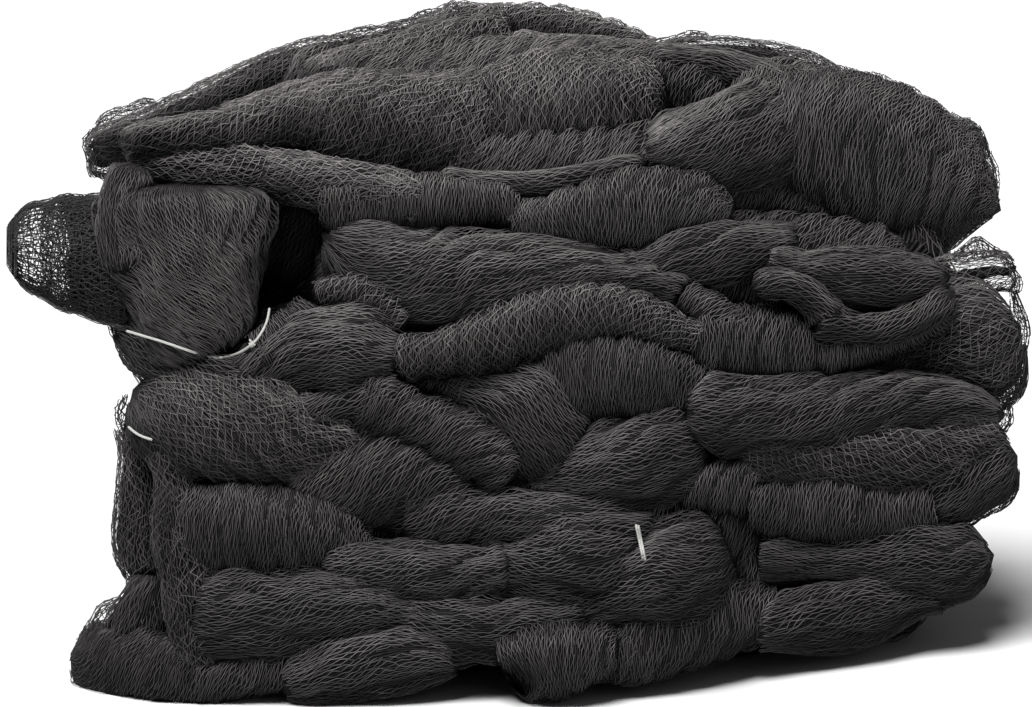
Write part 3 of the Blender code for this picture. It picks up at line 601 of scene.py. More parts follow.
def turn_half(turn, t):
    """Half thickness of a turn: even, with round ends."""
    near_end = np.clip(np.minimum(t, 1.0 - t) / END_CAP, 0.0, 1.0)
    return turn.half * np.sqrt(1.0 - (1.0 - near_end) ** 2)


def turn_place(turn, seed, t, angle, lift):
    """A turn's skin at (t, angle): a circle of size carried from front to back."""
    middle, along, height = turn_line(turn, seed, t)
    half = turn_half(turn, t)
    around = (angle - FRONT_ANGLE) * turn.half
    size = half * relief(t, angle, seed)
    size = size + pleats(t * (turn.back - turn.front), around, turn.flow, half, seed)
    size = np.maximum(size, 0.0) + lift
    outward = math.copysign(1.0, turn.reach)
    return np.stack([outward * (middle + size * np.cos(angle)), along + 0.0 * size,
                     height + size * np.sin(angle)], axis=-1)


def flap_place(t, angle, lift):
    """The flap: a flat bag of net, u from its root to its tip, v = sin of the angle from side to side."""
    v = np.sin(angle)
    half = FLAP_HALF * (1.0 - FLAP_TAPER * t) * np.sqrt(1.0 - FLAP_ROUND * t ** 4)
    half = half * (1.0 + FLAP_RAGGED * t * np.sin(21.0 * t + 3.0 * v))
    right = FLAP_ROOT[0] + (FLAP_TIP[0] - FLAP_ROOT[0]) * t
    down = FLAP_ROOT[1] + (FLAP_TIP[1] - FLAP_ROOT[1]) * t + half * v
    depth = face_depth(FLAP_ROOT[0], down, RIGHT_SET_BACK) - FLAP_PROUD
    back = depth + FLAP_BELLY * v * v + FLAP_SWEEP * t * t - (5.0 + lift) * np.cos(angle)
    return sight(right, down, back)


def veil_place(veil, t, angle, lift):
    """A loop of net: q = angle from the front runs over the edge, out sin q sideways and -deep cos q back."""
    q = angle - FRONT_ANGLE + math.pi / 2
    run = np.array([veil.x1 - veil.x0, veil.y1 - veil.y0], dtype=float)
    normal = np.array([run[1], -run[0]]) / np.hypot(*run)
    scallop = np.sqrt(np.sin(math.pi * np.clip(t, 0.02, 0.98))) * (1.0 + 0.22 * np.sin(9.0 * t + veil.x0))
    out = (veil.out * scallop + lift) * np.sin(q)
    right = veil.x0 + run[0] * t + normal[0] * out
    down = veil.y0 + run[1] * t + normal[1] * out
    root = face_depth(veil.x0 + run[0] * t, veil.y0 + run[1] * t, RIGHT_SET_BACK) + veil.back
    return sight(right, down, root - (veil.deep + lift) * np.cos(q))


def veil_surfaces():
    """The loops of open net at the heap's edge."""
    made = []
    for seed, veil in enumerate(VEILS):
        def place(t, angle, lift, veil=veil):
            return veil_place(veil, t, angle, lift)
        length = math.hypot(veil.x1 - veil.x0, veil.y1 - veil.y0)
        made.append(Surface(("veil", seed), place, length, (veil.out + veil.deep) / 2, veil.flow, 1.0,
                            400 + seed, 0.0))
    return made


def to_world(points):
    """Millimetres of the lay-out to metres of the object."""
    return (points + CENTRE_SHIFT) * MM


def front_surfaces():
    """The folds of the front, as surfaces."""
    made = []
    for seed, fold in enumerate(FOLDS):
        def place(t, angle, lift, fold=fold, seed=seed):
            return fold_place(fold, seed, RIGHT_SET_BACK, t, angle, lift)
        made.append(Surface(("front", seed), place, fold_length(fold), fold.half * ROUND_SHARE, fold.flow,
                            fold.loose, seed, OPEN_EDGE.get(fold.name, 0.0)))
    return made


def back_surfaces():
    """The folds of the back, which repeat the front's but for the few that only the front shows."""
    made = []
    for seed, fold in enumerate(FOLDS):
        if fold.name in FRONT_ONLY:
            continue

        def place(t, angle, lift, fold=fold, seed=seed + len(FOLDS)):
            return turned_round(fold_place(fold, seed, BACK_SET_BACK, t, angle, lift))
        made.append(Surface(("back", seed), place, fold_length(fold), fold.half * ROUND_SHARE, fold.flow,
                            fold.loose, seed + len(FOLDS), 0.0))
    return made


def turn_surfaces():
    """The turns at the heap's two ends."""
    made = []
    for seed, turn in enumerate(TURNS):
        def place(t, angle, lift, turn=turn, seed=seed):
            return turn_place(turn, seed, t, angle, lift)
        made.append(Surface(("turn", seed), place, turn.back - turn.front, turn.half, turn.flow, 0.5, seed,
                            0.0))
    return made


def depth_inside(points, centres, halves, ratio):
    """How deep points lie in a row of balls, flattened by ratio along their third axis."""
    gap = points[:, None, :] - centres[None, :, :]
    gap[..., 2] /= ratio
    return (halves[None, :] - np.linalg.norm(gap, axis=2)).max(axis=1)


def depth_in_rows(points, rows, ratio):
    """How deep points lie in the deepest of several rows of balls; outside all, FAR_OUTSIDE."""
    depth = np.full(len(points), FAR_OUTSIDE)
    for centres, halves in rows:
        low = centres.min(axis=0) - halves.max() - MERGE_REACH
        high = centres.max(axis=0) + halves.max() + MERGE_REACH
        near = np.flatnonzero((points > low).all(axis=1) & (points < high).all(axis=1))
        depth[near] = np.maximum(depth[near], depth_inside(points[near], centres, halves, ratio))
    return depth


def fold_rows(family, right_set_back, own):
    """Rows of balls that fill the folds of the front or the back, but for the own one."""
    t = np.linspace(0.0, 1.0, FOLD_BALLS)
    rows = []
    for seed, fold in enumerate(FOLDS):
        if (family, seed) == own or (family == "back" and fold.name in FRONT_ONLY):
            continue
        right, down, _ = fold_line(fold, t)
        back = face_depth(right, down, right_set_back) - fold.proud + FOLD_DEPTH_RATIO * fold.half
        rows.append((np.stack([right, down, back], axis=1), fold_half(fold, t)))
    return rows


def turn_rows(own):
    """Rows of balls that fill the turns at the ends, but for the own one, as (across, height, back)."""
    t = np.linspace(0.0, 1.0, FOLD_BALLS)
    rows = []
    for seed, turn in enumerate(TURNS):
        if ("turn", seed) == own:
            continue
        middle, along, height = turn_line(turn, seed, t)
        centres = np.stack([math.copysign(1.0, turn.reach) * middle, height, along], axis=1)
        rows.append((centres, turn_half(turn, t)))
    return rows


def depth_in_heap(points, own):
    """How deep lay-out points lie inside the folds and turns other than their own."""
    depth = depth_in_rows(seen_from_front(points), fold_rows("front", RIGHT_SET_BACK, own), FOLD_DEPTH_RATIO)
    behind = seen_from_front(turned_back(points))
    depth = np.maximum(depth, depth_in_rows(behind, fold_rows("back", BACK_SET_BACK, own), FOLD_DEPTH_RATIO))
    return np.maximum(depth, depth_in_rows(points[:, [0, 2, 1]], turn_rows(own), 1.0))


def merged(surface, t, angle):
    """How far a surface's points swell where folds meet, from their depth in the other folds.

    The swell is share reach (1 - |depth| / reach)^2, so that skins run into each other; the share
    is MERGE_SHARE, and up to MERGE_TIP more at a fold's tips.
    """
    if surface.key[0] in ("veil", "flap"):
        return 0.0 * t
    flat = surface.place(t, angle, 0.0).reshape(-1, 3)
    depth = depth_in_heap(flat, surface.key).reshape(t.shape)
    near = np.clip(1.0 - np.abs(depth) / MERGE_REACH, 0.0, 1.0)
    share = MERGE_SHARE + MERGE_TIP * (1.0 - smooth_step(np.minimum(t, 1.0 - t) / MERGE_TIP_REACH))
    return share * MERGE_REACH * near ** 2


def heart_shell():
    """The rounded block at the heap's heart: x = c(t), y = s(t) c(a), z = s(t) s(a), each to a power."""
    t = np.linspace(0.0, math.pi, 30)
    angle = np.linspace(0.0, 2.0 * math.pi, 48, endpoint=False)
    grid_t, grid_a = np.meshgrid(t, angle, indexing="ij")

    def power(value):
        return np.sign(value) * np.abs(value) ** HEART_POWER

    ball = np.stack([power(np.cos(grid_t)), power(np.sin(grid_t)) * power(np.cos(grid_a)),
                     power(np.sin(grid_t)) * power(np.sin(grid_a))], axis=-1)
    wide_a = np.concatenate([grid_a, grid_a[:, :1] + 2.0 * math.pi], axis=1)
    wide_t = np.concatenate([grid_t, grid_t[:, :1]], axis=1)
    return grid_shell(HEART_MIDDLE + HEART_HALF * ball, np.stack([wide_t, wide_a], axis=-1) * 0.2, 1.0)


def ring_skin(surface, grid, tone):
    """The closed skin of a surface, swollen where it meets its neighbours and drawn in under open net."""
    steps, sides = grid
    t = np.linspace(0.0, 1.0, steps)
    angle = FRONT_ANGLE + math.pi + np.linspace(0.0, 2.0 * math.pi, sides + 1)
    grid_t, grid_a = np.meshgrid(t, angle, indexing="ij")
    near_t = grid_t[:, :-1]
    near_a = grid_a[:, :-1]
    end_share = np.minimum(np.minimum(near_t, 1.0 - near_t) / SKIN_END, 1.0)
    lift = merged(surface, near_t, near_a) * end_share - surface.drawn_in - SKIN_DROP
    lift = np.where((near_t > 0.0) & (near_t < 1.0), lift, 0.0)
    return grid_shell(surface.place(near_t, near_a, lift), flow_flat(surface, grid_t, grid_a), tone)


def grid_shell(points, flat, tone):
    """A closed skin from rings of points: quads between the rings, and a pole for the first and last."""
    steps, sides = points.shape[:2]
    verts = np.concatenate([points[1:-1].reshape(-1, 3), points[0].mean(axis=0)[None],
                            points[-1].mean(axis=0)[None]])
    ring, side = np.meshgrid(np.arange(steps - 3), np.arange(sides), indexing="ij")
    ring = ring.ravel()
    side = side.ravel()
    across = (side + 1) % sides
    low = ring * sides
    quads = np.stack([low + side, low + across, low + sides + across, low + sides + side], axis=1)
    quad_flat = np.stack([flat[ring + 1, side], flat[ring + 1, side + 1], flat[ring + 2, side + 1],
                          flat[ring + 2, side]], axis=1)
    side = np.arange(sides)
    across = (side + 1) % sides
    pole = len(verts) - 2 + 0 * side
    last = (steps - 3) * sides
    tris = np.concatenate([np.stack([pole, across, side], axis=1),
                           np.stack([pole + 1, last + side, last + across], axis=1)])
    tri_flat = np.concatenate([
        np.stack([flat[0, side], flat[1, side + 1], flat[1, side]], axis=1),
        np.stack([flat[-1, side], flat[-2, side], flat[-2, side + 1]], axis=1)])
    verts[:, 2] = np.maximum(verts[:, 2], FLOOR_REST)
    world = to_world(verts)
    if skin_volume(world, quads, tris) < 0.0:
        quads = quads[:, ::-1]
        tris = tris[:, ::-1]
        quad_flat = quad_flat[:, ::-1]
        tri_flat = tri_flat[:, ::-1]
    return Shell(world, quads, tris, np.full(len(world), tone), quad_flat, tri_flat)


def flow_flat(surface, t, angle):
    """Place on the flat net, in metres: along the strands, and across them."""
    turn = math.radians(surface.flow)
    along = t * surface.length
    around = (angle - FRONT_ANGLE) * surface.radius
    return MM * np.stack([along * math.cos(turn) + around * math.sin(turn),
                          around * math.cos(turn) - along * math.sin(turn)], axis=-1)


def skin_volume(verts, quads, tris):
    """Volume of a closed skin, below 0 where its faces point inwards: the sum of a.(b x c) / 6."""
    corners = np.concatenate([quads[:, [0, 1, 2]], quads[:, [0, 2, 3]], tris])
    a, b, c = (verts[corners[:, i]] for i in range(3))
    return float(np.einsum("ij,ij->i", a, np.cross(b, c)).sum() / 6.0)


def unit(vectors):
    """Vectors of length 1."""
    return vectors / np.maximum(np.linalg.norm(vectors, axis=-1, keepdims=True), 1e-12)


def tubes(points, outward, keep, radius, sides, tone):
    """Closed tubes along rows of points, where keep says which of a row's steps are there.

    Each point gets a ring, radius (cos q up + sin q across), on the tangent's own frame.
    """
    tangent = unit(np.gradient(points, axis=1))
    across = unit(np.cross(tangent, outward))
    up = np.cross(across, tangent)
    q = np.linspace(0.0, 2.0 * math.pi, sides, endpoint=False) + math.pi / 2
    radius = np.broadcast_to(radius, points.shape[:2])[..., None, None]
    ring = points[..., None, :] + radius * (np.cos(q)[:, None] * up[..., None, :]
                                            + np.sin(q)[:, None] * across[..., None, :])
    used = np.zeros(points.shape[:2], dtype=bool)
    used[:, :-1] |= keep
    used[:, 1:] |= keep
    index = (np.cumsum(used) - 1).reshape(used.shape) * sides
    first = index[:, :-1][keep]
    second = index[:, 1:][keep]
    quads = np.concatenate([np.stack([first + s, first + (s + 1) % sides, second + (s + 1) % sides,
                                      second + s], axis=1) for s in range(sides)])
    before = np.zeros_like(keep)
    before[:, 1:] = keep[:, :-1]
    after = np.zeros_like(keep)
    after[:, :-1] = keep[:, 1:]
    start = index[:, :-1][keep & ~before]
    end = index[:, 1:][keep & ~after]
    tris = [np.stack([start, start + s + 1, start + s], axis=1) for s in range(1, sides - 1)]
    tris += [np.stack([end, end + s, end + s + 1], axis=1) for s in range(1, sides - 1)]
    tris = np.concatenate(tris)
    verts = ring[used].reshape(-1, 3)
    ring_tone = np.repeat(np.broadcast_to(tone, used.shape)[used], sides)
    if len(quads) and skin_volume(verts, quads, tris) < 0.0:
        quads = quads[:, ::-1]
        tris = tris[:, ::-1]
    return Shell(verts, quads, tris, ring_tone, None, None)


@functools.lru_cache(maxsize=1)
def heap_views():
    """Depth maps of the skins from all round, on cells of VIEW_CELL, to tell which strands can be seen."""
    samples = []
    for surface in (*front_surfaces(), *back_surfaces(), *turn_surfaces()):
        steps = int(surface.length / VIEW_STEP) + 2
        sides = int(2.0 * math.pi * surface.radius / VIEW_STEP) + 2
        t, angle = np.meshgrid(np.linspace(0.0, 1.0, steps), np.linspace(0.0, 2.0 * math.pi, sides),
                               indexing="ij")
        samples.append(surface.place(t, angle, 0.0).reshape(-1, 3))
    samples = np.concatenate(samples)
    views = []
    for azimuth, elevation in VIEW_ANGLES:
        turn, rise = math.radians(azimuth), math.radians(elevation)
        ahead = np.array([-math.sin(turn) * math.cos(rise), math.cos(turn) * math.cos(rise), -math.sin(rise)])
        side = np.array([math.cos(turn), math.sin(turn), 0.0])
        axes = np.stack([side, np.cross(side, ahead), ahead])
        placed = samples @ axes.T
        low = placed[:, :2].min(axis=0) - VIEW_CELL
        cells = ((placed[:, :2] - low) / VIEW_CELL).astype(int)
        depth = np.full(cells.max(axis=0) + 2, np.inf)
        np.minimum.at(depth, (cells[:, 0], cells[:, 1]), placed[:, 2])
        views.append((axes, low, depth))
    return views


def seen_in_views(points, views):
    """Which lay-out points lie no more than VIEW_DEEP behind the skins in any of the views."""
    seen = np.zeros(len(points), dtype=bool)
    for axes, low, depth in views:
        placed = points @ axes.T
        cells = ((placed[:, :2] - low) / VIEW_CELL).astype(int)
        cells = np.clip(cells, 0, np.array(depth.shape) - 1)
        seen |= placed[:, 2] < depth[cells[:, 0], cells[:, 1]] + VIEW_DEEP
    return seen


def sky_directions():
    """Unit directions all over the upper half of a ball, in rings of even height."""
    rings = []
    for rise, count in SKY_RINGS:
        turn = 2.0 * math.pi * (np.arange(count) + 0.5 * (count % 4) / 4) / count
        up = math.radians(rise)
        rings.append(np.stack([math.cos(up) * np.cos(turn), math.cos(up) * np.sin(turn),
                               np.full(count, math.sin(up))], axis=1))
    return np.concatenate(rings)


def openness(points, outward):
    """Share of the sky that world points see past the skins, each direction d counting d.n."""
    tree = skin_tree()
    sky = sky_directions()
    rays = [Vector(direction) for direction in sky]
    weight = np.maximum(outward @ sky.T, 0.0)
    start = points + outward * SKY_START
    seen = np.zeros(len(points))
    for i, place in enumerate(start):
        origin = Vector(place)
        for j in np.flatnonzero(weight[i] > 0.1):
            if tree.ray_cast(origin, rays[j], SKY_REACH)[0] is None:
                seen[i] += weight[i, j]
    return seen / sky[:, 2].sum()


def shade(points, outward):
    """Painted light and shade of net: lighter where it sees more sky past the skins, darker in creases, on
    undersides and low down.
    """
    height = smooth_step(points[:, 2] / SHADE_HEIGHT)
    return (SHADE_LOW + SHADE_GAIN * openness(points, outward)) * (SHADE_FOOT + (1.0 - SHADE_FOOT) * height)


@functools.lru_cache(maxsize=1)
def skin_tree():
    """The skins of the folds and the turns, to cast rays at."""
    verts = []
    faces = []
    for name in SKINS:
        mesh = bpy.data.objects[name].data
        faces.extend([[len(verts) + v for v in face.vertices] for face in mesh.polygons])
        verts.extend(vert.co.copy() for vert in mesh.vertices)
    return BVHTree.FromPolygons(verts, faces)


def under_skins(points, outward):
    """Which world points lie inside a skin: a ray straight out leaves more skins than it enters."""
    tree = skin_tree()
    under = np.zeros(len(points), dtype=bool)
    for i, (point, ahead) in enumerate(zip(points, outward)):
        ray = Vector(ahead)
        start = Vector(point) + ray * RAY_START
        balance = 0
        for _ in range(RAY_HITS):
            place, normal, _, _ = tree.ray_cast(start, ray)
            if place is None:
                break
            balance += 1 if normal.dot(ray) > 0.0 else -1
            start = place + ray * 1e-5
        under[i] = balance > 0
    return under


def fold_setting(surface, values, usual):
    """What a table says of one of the front's folds, and the usual value for every other surface."""
    family, number = surface.key
    return values.get(FOLDS[number].name, usual) if family == "front" else usual


def net_on(surface, settings, pitch, opening, lift, spread=1.0, facing=2.0, bright=1.0, longer=1.0,
           thick=1.0):
    """The strands of a net laid on a surface.

    Strand j runs at b = j pitch, and its knots lie at a = k h, where h^2 = bar^2 - pitch^2.
    Every knot steps half a pitch to one side and the other in turn, so that neighbours meet.
    (a, b) is then turned by the flow, leant over by lean t^2 at t along the surface, swayed and
    lifted, and left out where the heap hides it or where it faces back more than facing.
    """
    rng = np.random.default_rng(1000 + surface.seed * 7 + int(pitch * 10))
    bar = longer * settings.bar / MM
    rise = math.sqrt(bar * bar - pitch * pitch)
    turn = math.radians(surface.flow)
    span = surface.length / 2
    girth = math.pi * surface.radius * spread
    lean = span * fold_setting(surface, FOLD_LEAN, 0.0)
    reach_a = span * abs(math.cos(turn)) + girth * abs(math.sin(turn))
    reach_b = span * abs(math.sin(turn)) + girth * abs(math.cos(turn)) + lean
    row = np.arange(-int(reach_b / pitch), int(reach_b / pitch) + 1)
    knot = np.arange(-int(reach_a / rise) - 1, int(reach_a / rise) + 2)
    row, knot = np.meshgrid(row, knot, indexing="ij")
    side = np.where((row + knot) % 2 == 0, 0.5, -0.5)
    a = knot * rise + rise * STRAY_ALONG * rng.standard_normal(row.shape)
    b = row * pitch + side * pitch * opening + STRAY_ACROSS * pitch * rng.standard_normal(row.shape)
    phase = rng.uniform(0.0, 2.0 * math.pi, 4)
    b = (b + BEND * np.sin(a / BEND_ALONG + b / BEND_ACROSS + phase[0])
         + CRINKLE * np.sin(a / CRINKLE_ALONG - b / CRINKLE_ACROSS + phase[1]))
    along = span + a * math.cos(turn) - b * math.sin(turn)
    t = along / surface.length
    around = a * math.sin(turn) + b * math.cos(turn) + lean * t * t
    inside = (t > BARE_TIP) & (t < 1.0 - BARE_TIP) & (np.abs(around) <= girth)
    t = np.clip(t, BARE_TIP, 1.0 - BARE_TIP)
    angle = FRONT_ANGLE + around / surface.radius
    swell = merged(surface, t, angle)
    wave = np.sin(b / RIPPLE_ACROSS + a / RIPPLE_DRIFT + phase[2]) * np.sin(a / RIPPLE_ALONG + phase[3])
    height = lift + swell + RIPPLE * wave + STRAY_UP * rng.standard_normal(row.shape)
    points = surface.place(t, angle, height)
    outward = unit(surface.place(t, angle, height + 1.0) - points)
    keep = inside[:, :-1] & inside[:, 1:]
    keep &= (points[:, :-1, 2] > STRAND_LEAST_HEIGHT) & (points[:, 1:, 2] > STRAND_LEAST_HEIGHT)
    keep &= outward[:, :-1, 1] < facing
    middle = (points[:, :-1] + points[:, 1:]) / 2
    where = np.flatnonzero(keep)
    keep.flat[where[~seen_in_views(middle.reshape(-1, 3)[where], heap_views())]] = False
    where = np.flatnonzero(keep)
    under = under_skins(to_world(middle.reshape(-1, 3)[where]), outward[:, :-1].reshape(-1, 3)[where])
    keep.flat[where[under]] = False
    tone = bright * rng.uniform(*STRAND_BRIGHT, (row.shape[0], 1)) * rng.uniform(*KNOT_BRIGHT, row.shape)
    # Painted light and shade: some folds' strands are painted lighter or darker than the others'
    tone *= fold_setting(surface, FOLD_LIGHT_AND_SHADE, 1.0)
    used = np.zeros(row.shape, dtype=bool)
    used[:, :-1] |= keep
    used[:, 1:] |= keep
    # Painted shade on the strands: darker in creases, on undersides and low down, by how much sky they see
    tone[used] *= shade(to_world(points[used]), outward[used])
    return tubes(to_world(points), outward, keep, settings.strand_radius * thick, 3, tone)


def join_shells(shells):
    """One shell from many, with the corners' numbers moved up."""
    shells = [shell for shell in shells if len(shell.verts)]
    starts = np.cumsum([0] + [len(shell.verts) for shell in shells[:-1]])
    quads = np.concatenate([shell.quads + start for shell, start in zip(shells, starts)])
    tris = np.concatenate([shell.tris + start for shell, start in zip(shells, starts)])
    flat = [shell.quad_flat for shell in shells if shell.quad_flat is not None]
    quad_flat = np.concatenate(flat) if flat else None
    tri_flat = np.concatenate([shell.tri_flat for shell in shells]) if flat else None
    return Shell(np.concatenate([shell.verts for shell in shells]), quads, tris,
                 np.concatenate([shell.tone for shell in shells]), quad_flat, tri_flat)


def make_piece(name, shell, finish, nodes):
    """A shell as a mesh object that rides on the heap and stands for the CAD nodes."""
    mesh = bpy.data.meshes.new(name)
    loops = np.concatenate([shell.quads.ravel(), shell.tris.ravel()])
    totals = np.concatenate([np.full(len(shell.quads), 4), np.full(len(shell.tris), 3)])
    mesh.vertices.add(len(shell.verts))
    mesh.vertices.foreach_set("co", shell.verts.astype(np.float32).ravel())
    mesh.loops.add(len(loops))
    mesh.loops.foreach_set("vertex_index", loops.astype(np.int32))
    mesh.polygons.add(len(totals))
    mesh.polygons.foreach_set("loop_start", (np.cumsum(totals) - totals).astype(np.int32))
    mesh.polygons.foreach_set("loop_total", totals.astype(np.int32))
    mesh.update(calc_edges=True)
    mesh.polygons.foreach_set("use_smooth", np.ones(len(totals), dtype=bool))
    tone = mesh.attributes.new("tone", "FLOAT", "POINT")
    tone.data.foreach_set("value", shell.tone.astype(np.float32))
    if shell.quad_flat is not None:
        flat = np.concatenate([shell.quad_flat.reshape(-1, 2), shell.tri_flat.reshape(-1, 2)])
        layer = mesh.uv_layers.new(name="net")
        layer.data.foreach_set("uv", flat.astype(np.float32).ravel())
    mesh.validate()
    mesh.materials.append(finish)
    piece = bpy.data.objects.new(name, mesh)
    bpy.context.scene.collection.objects.link(piece)
    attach(piece, "root")
    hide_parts(*nodes)
    return piece


def new_material(name, roughness):
    """A material with its own shader, and the tree's nodes and links."""
    finish = bpy.data.materials.new(name)
    finish.use_nodes = True
    tree = finish.node_tree
    shader = tree.nodes["Principled BSDF"]
    shader.inputs["Roughness"].default_value = roughness
    shader.inputs["Metallic"].default_value = 0.0
    return finish, tree.nodes, tree.links, shader


def noise(nodes, scale, detail):
    """A noise texture of the given scale and detail."""
    texture = nodes.new("ShaderNodeTexNoise")
    texture.inputs["Scale"].default_value = scale
    texture.inputs["Detail"].default_value = detail
    return texture


def colour_ramp(nodes, low, dark, high, light):
    """A ramp from a dark colour at low to a light one at high."""
    ramp = nodes.new("ShaderNodeValToRGB")
    for element, position, colour in zip(ramp.color_ramp.elements, (low, high), (dark, light)):
        element.position = position
        element.color = (*colour, 1.0)
    return ramp


def times(colour, share):
    """A colour made lighter or darker."""
    return [share * c for c in colour]


def set_toned(nodes, links, colour, shader):
    """The shader's colour: the given one, scaled by the piece's tone, which on the net holds random
    brightness and painted light and shade.
    """
    tone = nodes.new("ShaderNodeAttribute")
    tone.attribute_name = "tone"
    scaled = nodes.new("ShaderNodeVectorMath")
    scaled.operation = "SCALE"
    links.new(colour, scaled.inputs[0])
    links.new(tone.outputs["Fac"], scaled.inputs["Scale"])
    links.new(scaled.outputs["Vector"], shader.inputs["Base Color"])


def set_bump(nodes, links, height, strength, distance, shader):
    """The shader's bump, from a height."""
    bump = nodes.new("ShaderNodeBump")
    bump.inputs["Strength"].default_value = strength
    bump.inputs["Distance"].default_value = distance
    links.new(height, bump.inputs["Height"])
    links.new(bump.outputs["Normal"], shader.inputs["Normal"])


def packed_net_material(colour):
    """Net packed many layers deep: fine bands along the strands, with painted shade of the deeper layers,
    near black, between them.
    """
    name = "packed_net"
    if name in bpy.data.materials:
        return bpy.data.materials[name]
    finish, nodes, links, shader = new_material(name, 0.7)
    shader.inputs["Specular IOR Level"].default_value = 0.08
    flat = nodes.new("ShaderNodeUVMap")
    flat.uv_map = "net"
    bands = nodes.new("ShaderNodeTexWave")
    bands.wave_type = "BANDS"
    bands.bands_direction = "Y"
    bands.inputs["Scale"].default_value = 150.0
    bands.inputs["Distortion"].default_value = 3.2
    bands.inputs["Detail"].default_value = 2.0
    bands.inputs["Detail Scale"].default_value = 0.8
    stretch = nodes.new("ShaderNodeMapping")
    stretch.inputs["Scale"].default_value = (90.0, 620.0, 1.0)
    fibre = noise(nodes, 1.0, 3.0)
    mix = nodes.new("ShaderNodeMath")
    mix.operation = "MULTIPLY"
    # Painted shade: the gaps between the bands go near black, far darker than the net's own colour
    ramp = colour_ramp(nodes, 0.2, (0.002, 0.0019, 0.0019), 0.6, times(colour, 0.62))
    links.new(flat.outputs["UV"], bands.inputs["Vector"])
    links.new(flat.outputs["UV"], stretch.inputs["Vector"])
    links.new(stretch.outputs["Vector"], fibre.inputs["Vector"])
    links.new(bands.outputs["Fac"], mix.inputs[0])
    links.new(fibre.outputs["Fac"], mix.inputs[1])
    links.new(mix.outputs["Value"], ramp.inputs["Fac"])
    set_toned(nodes, links, ramp.outputs["Color"], shader)
    set_bump(nodes, links, mix.outputs["Value"], 0.8, 0.0012, shader)
    return finish


def strand_material(colour):
    """Drawn black plastic strands, each a little lighter or darker, with faint dust."""
    name = "net_strand"
    if name in bpy.data.materials:
        return bpy.data.materials[name]
    finish, nodes, links, shader = new_material(name, 0.5)
    shader.inputs["Specular IOR Level"].default_value = 0.35
    place = nodes.new("ShaderNodeTexCoord")
    dust = noise(nodes, 22.0, 4.0)
    ramp = colour_ramp(nodes, 0.3, times(colour, 0.72), 0.72, times(colour, 1.2))
    links.new(place.outputs["Object"], dust.inputs["Vector"])
    links.new(dust.outputs["Fac"], ramp.inputs["Fac"])
    set_toned(nodes, links, ramp.outputs["Color"], shader)
    return finish


def twine_material(colour):
    """White polyester twine: fine fibres, slightly soiled in its grooves."""
    name = "white_twine"
    if name in bpy.data.materials:
        return bpy.data.materials[name]
    finish, nodes, links, shader = new_material(name, 0.6)
    place = nodes.new("ShaderNodeTexCoord")
    fibre = noise(nodes, 900.0, 3.0)
    ramp = colour_ramp(nodes, 0.25, times(colour, 0.7), 0.7, colour)
    links.new(place.outputs["Object"], fibre.inputs["Vector"])
    links.new(fibre.outputs["Fac"], ramp.inputs["Fac"])
    set_toned(nodes, links, ramp.outputs["Color"], shader)
    set_bump(nodes, links, fibre.outputs["Fac"], 0.5, 0.0002, shader)
    return finish


def metres(name, description, default, least, most):
    """A length for the panel."""
    return FloatProperty(name=name, description=description, default=default, min=least, max=most,
                         unit="LENGTH")


def hue(name, description, default):
    """A colour for the panel."""
    return FloatVectorProperty(name=name, description=description, default=default, subtype="COLOR",
                               min=0.0, max=1.0)


def strength(name, description, default, most):
    """A light's strength for the panel."""
    return FloatProperty(name=name, description=description, default=default, min=0.0, max=most)


class NetSizes(bpy.types.PropertyGroup):
    """Sizes and colours of the net."""
    bar: metres("Bar", "Length of one side of a mesh of the net", 0.0078, 0.004, 0.02)
    pitch: metres("Gathered pitch", "Distance between strands of gathered net", 0.0021, 0.0015, 0.006)
    loose_pitch: metres("Loose pitch", "Distance between strands of loose net", 0.0052, 0.003, 0.009)
    strand_radius: metres("Strand radius", "Half the thickness of a strand", 0.00045, 0.0002, 0.001)
    colour: hue("Net colour", "Colour of the strands where light reaches them", (0.105, 0.098, 0.098))


class TwineSizes(bpy.types.PropertyGroup):
    """Sizes and colour of the twine."""
    radius: metres("Twine radius", "Half the thickness of the twine", 0.0013, 0.0005, 0.003)
    lay: metres("Lay", "Length of one full twist of the twine", 0.0065, 0.002, 0.02)
    plies: IntProperty(name="Plies", description="Yarns twisted into the twine", default=3, min=2, max=4)
    colour: hue("Twine colour", "Colour of the twine", (0.54, 0.54, 0.52))


class StageSettings(bpy.types.PropertyGroup):
    """The floor, the light and the camera."""
    floor_colour: hue("Floor colour", "Colour of the plain floor", (0.76, 0.76, 0.76))
    floor_half: metres("Floor half width", "Half the width of the floor", 30.0, 2.0, 100.0)
    key: strength("Key light", "Strength of the light from above and the left", 5.2, 20.0)
    fill: strength("Fill light", "Strength of the light from the front right", 0.1, 20.0)
    air: strength("Ambient light", "Strength of the light from all round", 0.07, 5.0)


def net_piece(name, shells, finish):
    """Shells as one piece that stands for the netting."""
    make_piece(name, join_shells(shells), finish, ["netting"])


class OBJECT_OT_net_folds(bpy.types.Operator):
    """Make the skins of packed net, one for each fold and turn of the rope"""
    bl_idname = "object.net_folds"
    bl_label = "Net folds"

    def execute(self, context):
        finish = packed_net_material(context.scene.net_sizes.colour)
        front = [ring_skin(surface, FRONT_GRID, 1.0) for surface in front_surfaces()]
        net_piece("folds_front", front, finish)
        back = [ring_skin(surface, BACK_GRID, 1.0) for surface in back_surfaces()]
        net_piece("folds_back", back, finish)
        turns = [ring_skin(surface, BACK_GRID, 1.0) for surface in turn_surfaces()]
        net_piece("folds_ends", [*turns, heart_shell()], finish)
        # Painted shade on the skins: darker in creases, on undersides and low down, by how much sky they see
        for name in SKINS:
            mesh = bpy.data.objects[name].data
            verts = np.array([vert.co for vert in mesh.vertices])
            normals = np.array([vert.normal for vert in mesh.vertices])
            mesh.attributes["tone"].data.foreach_set("value", shade(verts, normals).astype(np.float32))
        return {"FINISHED"}


